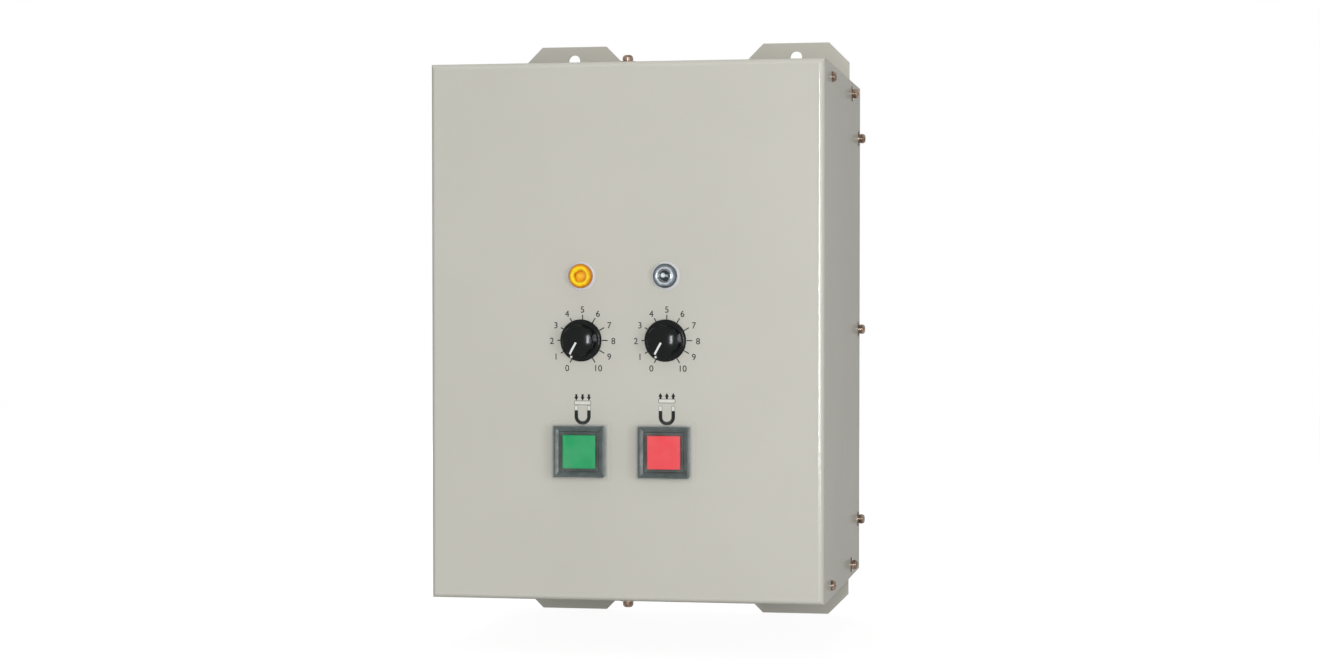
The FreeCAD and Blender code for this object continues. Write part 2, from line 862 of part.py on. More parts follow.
def button_plunger(side):
    """Square hollow plunger under the cap, with a stem that works the switch."""
    x = column(side)
    bottom = barrel_end - barrel_floor - button_travel - plunger_gap
    floor = plunger_top + plunger_top_t
    inner_w = plunger_w - 2 * plunger_wall
    skirt = pad(x, button_z, plunger_w, plunger_w, plunger_top, bottom)
    skirt = skirt.cut(pad(x, button_z, inner_w, inner_w, floor, bottom))
    stem = rod(spring_r - spring_wire - stem_gap, x, button_z, floor - over, bottom + stem_past)
    return skirt.fuse(stem).removeSplitter()


def button_spring(side):
    """Return spring between the plunger and the switch block, drawn with a six-sided wire."""
    x = column(side)
    wire_r = spring_wire / 2
    coil_r = spring_r - wire_r
    length = spring_seat - plunger_top - plunger_top_t - spring_wire
    path = Part.makeHelix(length / spring_turns, length, coil_r)
    turns = [math.pi / 3 * i for i in range(7)]
    section = Part.makePolygon([V(coil_r + wire_r * math.cos(a), 0, wire_r * math.sin(a)) for a in turns])
    coil = Part.Wire(path).makePipeShell([Part.Wire([section])], True, True)
    return placed(coil, V(x, spring_seat - wire_r, button_z), V(0, -1, 0))


def button_boot(side):
    """Clear silicone cover over the bezel, held by its flange under the housing."""
    x = column(side)
    inner = bezel_w + 2 * boot_gap
    outer = inner + 2 * boot_wall
    rim = outer + 2 * boot_flange
    inner_top = housing_face - boot_gap
    outer_top = inner_top - boot_wall
    shell = square_loft(x, outer + 2 * boot_draft, front, outer, outer_top)
    shell = shell.makeFillet(boot_round, edges_where(shell, lambda p: near(p.y, outer_top)))
    shell = shell.fuse(pad(x, button_z, rim, rim, housing_seat, front))
    shell = shell.cut(pad(x, button_z, inner, inner, inner_top, housing_seat))
    return shell.cut(rod(barrel_r + seam, x, button_z, housing_seat - over, front + over)).removeSplitter()


def terminal_rail():
    """Top-hat rail across the foot of the back plate."""
    half = rail_w / 2
    web = half - rail_lip
    channel = web - rail_t
    end = rail_len / 2
    rail = block(-end, end, rail_face, plate_face, rail_z - web, rail_z + web)
    floor = plate_face - rail_t
    rail = rail.cut(block(-end, end, rail_face - over, floor, rail_z - channel, rail_z + channel))
    for up in SIDES:
        z0, z1 = sorted((rail_z + up * channel, rail_z + up * half))
        rail = rail.fuse(block(-end, end, rail_face, rail_face + rail_t, z0, z1))
    return rail.removeSplitter()


def pole_places():
    pitch = pole_w + pole_gap
    return [(i - (poles - 1) / 2) * pitch for i in range(poles)]


def terminal_blocks():
    """Power terminals side by side on the rail, with two screw wells in each."""
    solids = []
    top = rail_face - pole_d
    for x in pole_places():
        body = pad(x, rail_z, pole_w, pole_h, top, rail_face)
        for up in SIDES:
            body = body.cut(rod(pole_well_r, x, rail_z + up * pole_h / 4, top, top + pole_well_h))
        solids.append(body)
    return group(solids)


def terminal_screws():
    """Slotted clamp screws at the bottom of the terminals' wells."""
    y = rail_face - pole_d + pole_well_h
    rim = clamp_h - clamp_chamfer
    screw = upright([(0, 0), (clamp_r, 0), (clamp_r, rim), (clamp_r - clamp_chamfer, clamp_h), (0, clamp_h)])
    half = clamp_slot / 2
    screw = screw.cut(block(-clamp_r, clamp_r, -half, half, clamp_h - clamp_slot, clamp_h + over))
    return group([placed(screw, V(x, y, rail_z + up * pole_h / 4), V(0, -1, 0))
                  for x in pole_places() for up in SIDES])


def heatsink():
    """Extruded aluminium heatsink with its fins towards the plate."""
    base = pad(sink_x, sink_z, sink_w, sink_h, sink_face, sink_face + sink_base)
    left = sink_x - sink_w / 2 + sink_fin_t / 2
    pitch = (sink_w - sink_fin_t) / (sink_fins - 1)
    for i in range(sink_fins):
        root = sink_face + sink_base - over
        base = base.fuse(pad(left + i * pitch, sink_z, sink_fin_t, sink_h, root, sink_face + sink_depth))
    return base.removeSplitter()


def sink_spacers():
    """Bars that carry the heatsink clear of the plate."""
    step = sink_h / 2 - sink_bar_inset - sink_bar_w / 2
    return group([pad(sink_x, sink_z + up * step, sink_w, sink_bar_w, plate_face - sink_pad, plate_face)
                  for up in SIDES])


def thyristor_modules():
    """Power modules bolted to the heatsink, each with a metal base and a stepped case."""
    solids = []
    seat = sink_face - module_base_t
    for up in SIDES:
        z = sink_z + up * module_step
        base = pad(sink_x, z, module_l, module_w, seat, sink_face)
        for side in SIDES:
            hole_x = sink_x + side * (module_l - module_tab) / 2
            base = base.cut(rod(module_hole_r, hole_x, z, seat, sink_face))
        case_l = module_l - 2 * module_tab
        solids.append(base.fuse(pad(sink_x, z, case_l, module_w - 2 * module_shrink, module_face, seat)))
    return group(solids)


def busbars():
    """Copper straps that join the modules' terminals in columns."""
    length = 2 * module_step + bar_w
    return group([pad(sink_x + step * bar_pitch, sink_z, bar_w, length, module_face - bar_t, module_face)
                  for step in (-1, 0, 1)])


def terminal_bolts():
    """Hexagonal bolts that clamp the straps to the modules."""
    bolt = hexagon(bolt_flats, bolt_h)
    return group([placed(bolt, V(sink_x + step * bar_pitch, module_face - bar_t, sink_z + up * module_step),
                         V(0, -1, 0)) for step in (-1, 0, 1) for up in SIDES])


def transformer_core():
    """Laminated core with a window on each side of its middle leg."""
    core = pad(core_x, core_z, core_w, core_h, core_front, core_back)
    window = (core_w - 4 * core_stack) / 2
    for side in SIDES:
        x = core_x + side * (core_stack + window / 2)
        core = core.cut(pad(x, core_z, window, core_h - 2 * core_stack, core_front, core_back))
    return core


def transformer_coil():
    """Taped winding round the core's middle leg."""
    w = core_w - 2 * core_stack - 2 * coil_gap
    h = core_h - 2 * core_stack - 2 * coil_gap
    coil = pad(core_x, core_z, w, h, core_front - coil_over, plate_face - 2 * coil_gap)
    coil = coil.makeFillet(coil_round, corner_posts(coil, core_x, core_z, w, h))
    return coil.cut(pad(core_x, core_z, 2 * core_stack, core_h, core_front, core_back))


def transformer_feet():
    """Steel bars that carry the core on the back plate and stand out for their screws."""
    bars = []
    for up in SIDES:
        edge = core_z + up * core_h / 2
        z0, z1 = sorted((edge - up * foot_hold, edge + up * foot_reach))
        bars.append(block(core_x - core_w / 2, core_x + core_w / 2, core_back, plate_face, z0, z1))
    return group(bars)


def fuse_places():
    return [core_x + step * fuse_pitch for step in (-1, 0, 1)]


def fuse_holders():
    """Open fuse bases above the transformer, with a clip at each end."""
    solids = []
    clip_step = (fuse_base_l - fuse_clip_l) / 2 - fuse_clip_inset
    clip_top = fuse_axis_y
    for x in fuse_places():
        base = pad(x, fuse_z, fuse_base_w, fuse_base_l, plate_face - fuse_base_t, plate_face)
        for up in SIDES:
            z = fuse_z + up * clip_step
            base = base.fuse(pad(x, z, fuse_clip_w, fuse_clip_l, clip_top, plate_face - fuse_base_t + over))
        start = V(x, fuse_axis_y, fuse_z - fuse_base_l / 2)
        solids.append(base.cut(Part.makeCylinder(fuse_r + fuse_fit, fuse_base_l, start)).removeSplitter())
    return group(solids)


def fuses():
    """Cartridge fuses in their clips."""
    return group([Part.makeCylinder(fuse_r, fuse_len, V(x, fuse_axis_y, fuse_z - fuse_len / 2))
                  for x in fuse_places()])


def board_points():
    """Places of the pillars, in from the board's corners."""
    return [(sx * (board_w / 2 - board_inset), board_z + sz * (board_h / 2 - board_inset))
            for sx in SIDES for sz in SIDES]


def control_board():
    """Printed circuit board with four mounting holes."""
    board = pad(0, board_z, board_w, board_h, board_face, board_back)
    hole_r = board_screw_r + board_screw_fit
    return board.cut(group([rod(hole_r, x, z, board_face, board_back) for x, z in board_points()]))


def board_spacers():
    """Hexagonal pillars under the board, bored for its screws."""
    pillar = hexagon(spacer_flats, board_lift).cut(Part.makeCylinder(board_screw_r, board_lift))
    return group([placed(pillar, V(x, plate_face, z), V(0, -1, 0)) for x, z in board_points()])


def board_screws():
    """Small screws that hold the board."""
    screw = upright([(0, -board_screw_len), (board_screw_r, -board_screw_len), (board_screw_r, 0),
                     (board_head_r, 0), (board_head_r, board_head_rim_h), (board_head_top_r, board_head_h),
                     (0, board_head_h)])
    return group([placed(screw, V(x, board_face, z), V(0, -1, 0)) for x, z in board_points()])


def capacitors():
    """Electrolytic capacitors in a row from the board's left end, each with a crimped bead."""
    r, h, g = capacitor_r, capacitor_len, capacitor_groove
    outline = [(0, 0), (r, 0), (r, capacitor_bead), (r - g, capacitor_bead + g),
               (r, capacitor_bead + 2 * g), (r, h - g), (r - g, h), (0, h)]
    first = -board_w / 2 + board_row
    return group([turned(outline, first + i * capacitor_pitch, board_z + board_inset, board_face)
                  for i in range(3)])


def relays():
    """Sealed relays in a row from the board's right end."""
    first = board_w / 2 - board_row
    return group([pad(first - i * relay_pitch, board_z + board_inset, relay_w, relay_h,
                      board_face - relay_d, board_face) for i in range(3)])


def board_connectors():
    """Pin headers along the board's lower edge, open to the front."""
    z = board_z - board_h / 2 + header_inset
    x = -(sum(header_lengths) + 2 * header_gap) / 2
    solids = []
    for length in header_lengths:
        middle = x + length / 2
        shell = pad(middle, z, length, header_w, board_face - header_h, board_face)
        hollow = pad(middle, z, length - 2 * header_wall, header_w - 2 * header_wall,
                     board_face - header_h, board_face - header_floor)
        solids.append(shell.cut(hollow))
        x += length + header_gap
    return group(solids)


def earth_stud():
    """Welded earth stud with its nut, in the plate's upper left corner."""
    stud = hexagon(bolt_flats, bolt_h).fuse(Part.makeCylinder(stud_r, stud_len)).removeSplitter()
    return placed(stud, V(stud_inset - inner_half_w, plate_face, inner_half_h - stud_inset), V(0, -1, 0))


def main():
    os.makedirs("parts", exist_ok=True)
    save("back_plate", back_plate())
    save("top_wall", end_wall(1))
    save("bottom_wall", bottom_wall())
    save("front_cover", front_cover())
    save("cover_screws", cover_screws())
    save("flat_washers", flat_washers())
    save("spring_washers", spring_washers())
    save("weld_nuts", weld_nuts())
    save("cable_grommets", cable_grommets())
    save("lamp_bezels", lamp_bezels())
    save("lamp_bodies", lamp_bodies())
    save("lamp_nuts", lamp_nuts())
    save("potentiometers", potentiometers())
    save("pot_washers", pot_washers())
    save("pot_nuts", pot_nuts())
    save("lock_nuts", lock_nuts())
    save("contact_blocks", contact_blocks())
    for side, word, colour in ((-1, "left", "green"), (1, "right", "red")):
        save(word + "_side_angle", side_angle(side))
        save(word + "_lamp_lens", lamp_lens(side))
        save(word + "_shaft", dial_shaft(side))
        knob, pointer = knob_parts(side)
        save(word + "_knob", knob)
        save(word + "_pointer", pointer)
        save(word + "_grub_screw", knob_grub(side))
        save(word + "_button_housing", button_housing(side))
        save(word + "_button_boot", button_boot(side))
        save(colour + "_cap", button_cap(side))
        save(colour + "_plunger", button_plunger(side))
        save(colour + "_spring", button_spring(side))
    save("terminal_rail", terminal_rail())
    save("terminal_blocks", terminal_blocks())
    save("terminal_screws", terminal_screws())
    save("heatsink", heatsink())
    save("sink_spacers", sink_spacers())
    save("thyristor_modules", thyristor_modules())
    save("busbars", busbars())
    save("terminal_bolts", terminal_bolts())
    save("transformer_core", transformer_core())
    save("transformer_coil", transformer_coil())
    save("transformer_feet", transformer_feet())
    save("fuse_holders", fuse_holders())
    save("fuses", fuses())
    save("control_board", control_board())
    save("board_spacers", board_spacers())
    save("board_screws", board_screws())
    save("capacitors", capacitors())
    save("relays", relays())
    save("board_connectors", board_connectors())
    save("earth_stud", earth_stud())


main()
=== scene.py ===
import math

import bmesh
import bpy
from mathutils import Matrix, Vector


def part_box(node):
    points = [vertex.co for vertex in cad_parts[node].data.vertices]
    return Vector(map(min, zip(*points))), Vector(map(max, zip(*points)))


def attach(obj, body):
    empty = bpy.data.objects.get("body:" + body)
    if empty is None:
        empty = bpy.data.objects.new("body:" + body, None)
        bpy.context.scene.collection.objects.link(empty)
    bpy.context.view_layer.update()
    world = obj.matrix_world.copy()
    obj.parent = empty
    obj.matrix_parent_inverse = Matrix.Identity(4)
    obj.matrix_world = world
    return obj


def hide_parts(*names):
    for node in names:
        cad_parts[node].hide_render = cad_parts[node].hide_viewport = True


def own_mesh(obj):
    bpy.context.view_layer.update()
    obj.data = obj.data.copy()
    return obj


# The control box as packed, which every piece below is fitted to.
# Lengths are in metres; +Z is up and the panel faces -Y.
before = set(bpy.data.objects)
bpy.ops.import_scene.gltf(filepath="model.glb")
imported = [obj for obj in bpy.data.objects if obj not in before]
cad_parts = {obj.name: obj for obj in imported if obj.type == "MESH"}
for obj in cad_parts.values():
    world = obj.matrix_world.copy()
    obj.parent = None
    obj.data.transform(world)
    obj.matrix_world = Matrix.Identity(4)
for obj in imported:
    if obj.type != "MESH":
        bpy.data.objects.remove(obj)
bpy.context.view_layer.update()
bpy.ops.object.select_all(action="DESELECT")

# Back plate with its four ears.
# Steel sheet, phosphated and then sprayed and baked with warm light grey enamel.
# The spray leaves a fine orange peel and a gloss that changes a little from place to place.


def linear(red, green, blue):
    """Screen colour, 0 to 255, as the linear colour that a shader takes."""
    shares = [value / 255 for value in (red, green, blue)]
    return [s / 12.92 if s <= 0.04045 else ((s + 0.055) / 1.055) ** 2.4 for s in shares] + [1.0]


def new_group(name, inputs, outputs):
    """Empty node group with its sockets; returns it with its input and output nodes."""
    group = bpy.data.node_groups.new(name, "ShaderNodeTree")
    for in_out, sockets in (("INPUT", inputs), ("OUTPUT", outputs)):
        for socket, kind in sockets:
            group.interface.new_socket(name=socket, in_out=in_out, socket_type="NodeSocket" + kind)
    return group, group.nodes.new("NodeGroupInput"), group.nodes.new("NodeGroupOutput")


def math_node(tree, operation, first, second=0.0):
    """Math node fed by sockets or plain numbers; returns its result."""
    node = tree.nodes.new("ShaderNodeMath")
    node.operation = operation
    for socket, value in zip(node.inputs, (first, second)):
        if isinstance(value, bpy.types.NodeSocket):
            tree.links.new(value, socket)
        else:
            socket.default_value = value
    return node.outputs[0]


def mix_colour(tree, share, first, second):
    """Blend of two colours, each a socket or a plain colour; returns its result."""
    node = tree.nodes.new("ShaderNodeMix")
    node.data_type = "RGBA"
    for socket, value in ((node.inputs[0], share), (node.inputs[6], first), (node.inputs[7], second)):
        if isinstance(value, bpy.types.NodeSocket):
            tree.links.new(value, socket)
        else:
            socket.default_value = value
    return node.outputs[2]


def noise(tree, place, scale, detail):
    """Noise on a place socket, with a scale that is a socket or a number; returns its value."""
    node = tree.nodes.new("ShaderNodeTexNoise")
    node.inputs["Detail"].default_value = detail
    tree.links.new(place, node.inputs["Vector"])
    if isinstance(scale, bpy.types.NodeSocket):
        tree.links.new(scale, node.inputs["Scale"])
    else:
        node.inputs["Scale"].default_value = scale
    return node.outputs["Fac"]


noise_low = 0.3
noise_high = 0.7


def spread(tree, value, low, high):
    """A noise value stretched about its middle and laid between two ends."""
    node = tree.nodes.new("ShaderNodeMapRange")
    node.inputs["From Min"].default_value = noise_low
    node.inputs["From Max"].default_value = noise_high
    for socket, end in ((node.inputs["To Min"], low), (node.inputs["To Max"], high)):
        if isinstance(end, bpy.types.NodeSocket):
            tree.links.new(end, socket)
        else:
            socket.default_value = end
    tree.links.new(value, node.inputs["Value"])
    return node.outputs["Result"]


def make_fine_grain():
    """A fine relief with slow changes of colour and gloss, in the object's own space."""
    group, given, out = new_group(
        "fine_grain",
        (("Light", "Color"), ("Dark", "Color"), ("Grain", "Float"), ("Blotch", "Float"),
         ("Smooth", "Float"), ("Rough", "Float")),
        (("Color", "Color"), ("Roughness", "Float"), ("Height", "Float")))
    place = group.nodes.new("ShaderNodeTexCoord").outputs["Object"]
    relief = noise(group, place, math_node(group, "DIVIDE", 1.0, given.outputs["Grain"]), 2.0)
    cloud = noise(group, place, math_node(group, "DIVIDE", 1.0, given.outputs["Blotch"]), 4.0)
    share = spread(group, cloud, 0.0, 1.0)
    blend = mix_colour(group, share, given.outputs["Light"], given.outputs["Dark"])
    gloss = math_node(group, "ADD", math_node(group, "MULTIPLY", relief, 0.5),
                      math_node(group, "MULTIPLY", cloud, 0.5))
    group.links.new(blend, out.inputs["Color"])
    group.links.new(spread(group, gloss, given.outputs["Smooth"], given.outputs["Rough"]),
                    out.inputs["Roughness"])
    group.links.new(relief, out.inputs["Height"])
    return group


def new_material(name):
    """Material with a plain shader; returns the material, its tree and its shader."""
    material = bpy.data.materials.new(name)
    material.use_nodes = True
    return material, material.node_tree, material.node_tree.nodes["Principled BSDF"]


def add_relief(tree, shader, height, depth):
    """Let a height drive the shader's normal; depth is the relief's full depth in metres."""
    bump = tree.nodes.new("ShaderNodeBump")
    bump.inputs["Distance"].default_value = depth
    tree.links.new(height, bump.inputs["Height"])
    tree.links.new(bump.outputs["Normal"], shader.inputs["Normal"])


fine_grain = make_fine_grain()


def grained(name, light, dark, grain, blotch, smooth, rough, depth, **constants):
    """Material on the fine grain; constants are the shader's own sockets by name."""
    material, tree, shader = new_material(name)
    texture = tree.nodes.new("ShaderNodeGroup")
    texture.node_tree = fine_grain
    for socket, value in (("Light", light), ("Dark", dark), ("Grain", grain), ("Blotch", blotch),
                          ("Smooth", smooth), ("Rough", rough)):
        texture.inputs[socket].default_value = value
    tree.links.new(texture.outputs["Color"], shader.inputs["Base Color"])
    tree.links.new(texture.outputs["Roughness"], shader.inputs["Roughness"])
    add_relief(tree, shader, texture.outputs["Height"], depth)
    for socket, value in constants.items():
        shader.inputs[socket.replace("_", " ")].default_value = value
    return material


def dress(material, *names):
    """Give the material to whole CAD nodes."""
    for name in names:
        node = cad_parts[name]
        node.data.materials.clear()
        node.data.materials.append(material)


bend_w = 0.0042
bend_depth = 0.0040
crest_depth = 0.00035
flat_coat = 0.19
bend_coat = 0.015
plate_skin = 0.0001


def enamel_finish():
    """Baked enamel, glossy on the crest of the cover's bends, dull past it and at the very back."""
    material = grained("case_enamel", linear(201, 198, 188), linear(198, 195, 185),
                       grain=0.0016, blotch=0.09, smooth=0.27, rough=0.33, depth=0.000006,
                       Specular_IOR_Level=0.0, Coat_Roughness=0.14, Coat_IOR=1.65)
    tree = material.node_tree
    low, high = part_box("front_cover")
    place = tree.nodes.new("ShaderNodeSeparateXYZ")
    tree.links.new(tree.nodes.new("ShaderNodeTexCoord").outputs["Object"], place.inputs["Vector"])
    to_side = math_node(tree, "SUBTRACT", high.x, math_node(tree, "ABSOLUTE", place.outputs["X"]))
    to_end = math_node(tree, "SUBTRACT", high.z, math_node(tree, "ABSOLUTE", place.outputs["Z"]))
    to_rim = math_node(tree, "MINIMUM", to_side, to_end)
    from_front = math_node(tree, "SUBTRACT", place.outputs["Y"], low.y)
    bend = math_node(tree, "MULTIPLY", math_node(tree, "LESS_THAN", to_rim, bend_w),
                     math_node(tree, "LESS_THAN", from_front, bend_depth))
    crest = math_node(tree, "MULTIPLY", bend, math_node(tree, "LESS_THAN", from_front, crest_depth))
    gloss = math_node(tree, "ADD", math_node(tree, "MULTIPLY", bend, bend_coat - flat_coat), flat_coat)
    gloss = math_node(tree, "ADD", math_node(tree, "MULTIPLY", crest, 1.0 - bend_coat), gloss)
    plate_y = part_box("back_plate")[0].y + plate_skin
    ahead = math_node(tree, "LESS_THAN", place.outputs["Y"], plate_y)
    gloss = math_node(tree, "MULTIPLY", gloss, ahead)
    tree.links.new(gloss, tree.nodes["Principled BSDF"].inputs["Coat Weight"])
    return material


enamel = enamel_finish()
dress(enamel, "back_plate")

# Chassis behind the cover: top and bottom wall, and the upright angles at the sides.
# The walls are sprayed like the plate. The angles stay in bright zinc-plated sheet,
# whose crystals shimmer in patches along the rolling direction.


def make_rolled_metal():
    """Streaks along one direction, with patches of tone; Counts is streaks per metre by axis."""
    group, given, out = new_group(
        "rolled_metal",
        (("Light", "Color"), ("Dark", "Color"), ("Counts", "Vector"), ("Smooth", "Float"),
         ("Rough", "Float")),
        (("Color", "Color"), ("Roughness", "Float"), ("Height", "Float")))
    place = group.nodes.new("ShaderNodeTexCoord").outputs["Object"]
    stretch = group.nodes.new("ShaderNodeVectorMath")
    stretch.operation = "MULTIPLY"
    group.links.new(place, stretch.inputs[0])
    group.links.new(given.outputs["Counts"], stretch.inputs[1])
    streak = noise(group, stretch.outputs["Vector"], 1.0, 3.0)
    patch = noise(group, place, 60.0, 3.0)
    tone = math_node(group, "ADD", math_node(group, "MULTIPLY", streak, 0.6),
                     math_node(group, "MULTIPLY", patch, 0.4))
    share = spread(group, tone, 0.0, 1.0)
    group.links.new(mix_colour(group, share, given.outputs["Light"], given.outputs["Dark"]),
                    out.inputs["Color"])
    group.links.new(spread(group, tone, given.outputs["Smooth"], given.outputs["Rough"]),
                    out.inputs["Roughness"])
    group.links.new(streak, out.inputs["Height"])
    return group


rolled_metal = make_rolled_metal()


def metal(name, light, dark, counts, smooth, rough, depth):
    """Bare or plated metal with its streaks along the axis of the smallest count."""
    material, tree, shader = new_material(name)
    texture = tree.nodes.new("ShaderNodeGroup")
    texture.node_tree = rolled_metal
    for socket, value in (("Light", light), ("Dark", dark), ("Counts", counts), ("Smooth", smooth),
                          ("Rough", rough)):
        texture.inputs[socket].default_value = value
    tree.links.new(texture.outputs["Color"], shader.inputs["Base Color"])
    tree.links.new(texture.outputs["Roughness"], shader.inputs["Roughness"])
    add_relief(tree, shader, texture.outputs["Height"], depth)
    shader.inputs["Metallic"].default_value = 1.0
    return material


zinc = metal("zinc_plate", linear(205, 208, 210), linear(160, 166, 172), (900, 900, 30),
             0.25, 0.42, 0.000006)
dress(enamel, "top_wall", "bottom_wall")
dress(zinc, "left_side_angle", "right_side_angle")

# Terminal rail and the power terminals that clip on it.
# Grey polyamide bodies from a spark-eroded mould, with plated clamp screws in their wells.

polyamide = grained("grey_polyamide", linear(150, 153, 152), linear(138, 141, 141),
                    grain=0.0004, blotch=0.02, smooth=0.45, rough=0.6, depth=0.00002)
dress(zinc, "terminal_rail")
dress(polyamide, "terminal_blocks")
dress(zinc, "terminal_screws")

# Heatsink on its two bars, with the thyristor modules and the copper straps that join them.
# The profile shows its drawing lines along the fins; the modules are glass-filled mouldings.

drawn_aluminium = metal("drawn_aluminium", linear(214, 216, 218), linear(186, 189, 192),
                        (1500, 1500, 20), 0.3, 0.45, 0.00001)
module_case = grained("module_moulding", linear(46, 46, 48), linear(36, 36, 38),
                      grain=0.0003, blotch=0.015, smooth=0.4, rough=0.6, depth=0.000015)
copper = metal("bare_copper", linear(214, 138, 100), linear(168, 98, 66), (1200, 1200, 25),
               0.25, 0.5, 0.000008)
dress(drawn_aluminium, "heatsink", "sink_spacers")
dress(module_case, "thyristor_modules")
dress(copper, "busbars")
dress(zinc, "terminal_bolts")

# Control transformer: a stack of varnished laminations with a taped coil on the middle leg.
# The sheet edges show as fine lines, the tape as overlapping turns round the coil.

wave_pitch = 0.314  # of a wave texture at scale 1


def banded(name, light, dark, axis, pitch, smooth, rough, depth):
    """Material with fine bands stacked along an axis, a pitch apart."""
    material, tree, shader = new_material(name)
    place = tree.nodes.new("ShaderNodeTexCoord").outputs["Object"]
    bands = tree.nodes.new("ShaderNodeTexWave")
    bands.bands_direction = axis
    bands.inputs["Scale"].default_value = wave_pitch / pitch
    bands.inputs["Distortion"].default_value = 0.4
    bands.inputs["Detail Scale"].default_value = 40.0
    tree.links.new(place, bands.inputs["Vector"])
    cloud = noise(tree, place, 90.0, 3.0)
    tone = math_node(tree, "ADD", math_node(tree, "MULTIPLY", bands.outputs["Fac"], 0.5),
                     math_node(tree, "MULTIPLY", cloud, 0.5))
    blend = mix_colour(tree, spread(tree, tone, 0.0, 1.0), dark, light)
    tree.links.new(blend, shader.inputs["Base Color"])
    tree.links.new(spread(tree, cloud, smooth, rough), shader.inputs["Roughness"])
    add_relief(tree, shader, bands.outputs["Fac"], depth)
    return material


laminations = banded("varnished_laminations", linear(92, 88, 84), linear(58, 55, 52), "Y", 0.0005,
                     0.3, 0.5, 0.00004)
coil_tape = banded("coil_tape", linear(222, 190, 96), linear(196, 160, 70), "Z", 0.006,
                   0.25, 0.4, 0.00008)
dress(laminations, "transformer_core")
dress(coil_tape, "transformer_coil")
dress(zinc, "transformer_feet")

# Fuses in their open bases.
# Black mouldings hold white glazed ceramic cartridges.

black_moulding = grained("black_moulding", linear(38, 38, 40), linear(28, 28, 30),
                         grain=0.0003, blotch=0.012, smooth=0.35, rough=0.55, depth=0.000015)
ceramic = grained("fuse_ceramic", linear(232, 228, 218), linear(222, 217, 205),
                  grain=0.0008, blotch=0.01, smooth=0.12, rough=0.25, depth=0.000006, Coat_Weight=0.4)
dress(black_moulding, "fuse_holders")
dress(ceramic, "fuses")

# Control board on its pillars, with capacitors, relays and pin headers.
# Tracks stand up a little under the green solder mask and shine brighter than the ground.

track_h = 0.00004


def solder_mask():
    """Green board whose tracks are the joints of a fine brick pattern."""
    material, tree, shader = new_material("solder_mask")
    place = tree.nodes.new("ShaderNodeTexCoord").outputs["Object"]
    turn = tree.nodes.new("ShaderNodeMapping")
    turn.inputs["Rotation"].default_value = (math.pi / 2, 0, 0)
    tree.links.new(place, turn.inputs["Vector"])
    tracks = tree.nodes.new("ShaderNodeTexBrick")
    for socket, value in (("Scale", 60.0), ("Mortar Size", 0.035), ("Mortar Smooth", 0.2),
                          ("Brick Width", 0.9), ("Row Height", 0.22)):
        tracks.inputs[socket].default_value = value
    tracks.inputs["Color1"].default_value = linear(18, 84, 48)
    tracks.inputs["Color2"].default_value = linear(22, 92, 54)
    tracks.inputs["Mortar"].default_value = linear(44, 128, 72)
    tree.links.new(turn.outputs["Vector"], tracks.inputs["Vector"])
    tree.links.new(tracks.outputs["Color"], shader.inputs["Base Color"])
    tree.links.new(spread(tree, noise(tree, place, 300.0, 2.0), 0.2, 0.35), shader.inputs["Roughness"])
    add_relief(tree, shader, tracks.outputs["Fac"], track_h)
    return material


nickel = metal("nickel_plate", linear(206, 200, 184), linear(176, 168, 150), (500, 500, 500),
               0.18, 0.35, 0.000004)
sleeve = grained("shrink_sleeve", linear(36, 48, 92), linear(28, 38, 76),
                 grain=0.0012, blotch=0.01, smooth=0.15, rough=0.3, depth=0.00002)
relay_case = grained("relay_case", linear(206, 210, 214), linear(188, 193, 198),
                     grain=0.0006, blotch=0.01, smooth=0.12, rough=0.25, depth=0.00001)
nylon = grained("header_nylon", linear(228, 224, 206), linear(216, 211, 190),
                grain=0.0004, blotch=0.01, smooth=0.35, rough=0.5, depth=0.00002)
dress(solder_mask(), "control_board")
dress(nickel, "board_spacers", "earth_stud")
dress(zinc, "board_screws")
dress(sleeve, "capacitors")
dress(relay_case, "relays")
dress(nylon, "board_connectors")

# Cable grommets in the bottom wall.
# Soft black rubber, matt and a little dusty where the mould's halves met.

rubber = grained("grommet_rubber", linear(44, 44, 44), linear(34, 34, 35),
                 grain=0.0009, blotch=0.008, smooth=0.6, rough=0.8, depth=0.00004)
dress(rubber, "cable_grommets")

# Front cover, bent from one sheet and sprayed on the outside with the plate's enamel.
# Its screws, plain washers and split washers are steel, passivated to a brown copper tone.

film_scale = 260.0
scratch_scale = 2400.0
scratch_depth = 0.000008


def passivated():
    """Brown passivated steel whose film changes from copper to olive over each head."""
    material, tree, shader = new_material("passivated_steel")
    place = tree.nodes.new("ShaderNodeTexCoord").outputs["Object"]
    film = spread(tree, noise(tree, place, film_scale, 2.0), 0.0, 1.0)
    tone = mix_colour(tree, film, linear(158, 138, 124), linear(98, 82, 70))
    scratch = noise(tree, place, scratch_scale, 3.0)
    tree.links.new(tone, shader.inputs["Base Color"])
    tree.links.new(spread(tree, scratch, 0.18, 0.36), shader.inputs["Roughness"])
    add_relief(tree, shader, scratch, scratch_depth)
    shader.inputs["Metallic"].default_value = 1.0
    return material


bronzed = passivated()
dress(enamel, "front_cover")
dress(bronzed, "cover_screws", "flat_washers", "spring_washers")
dress(zinc, "weld_nuts")
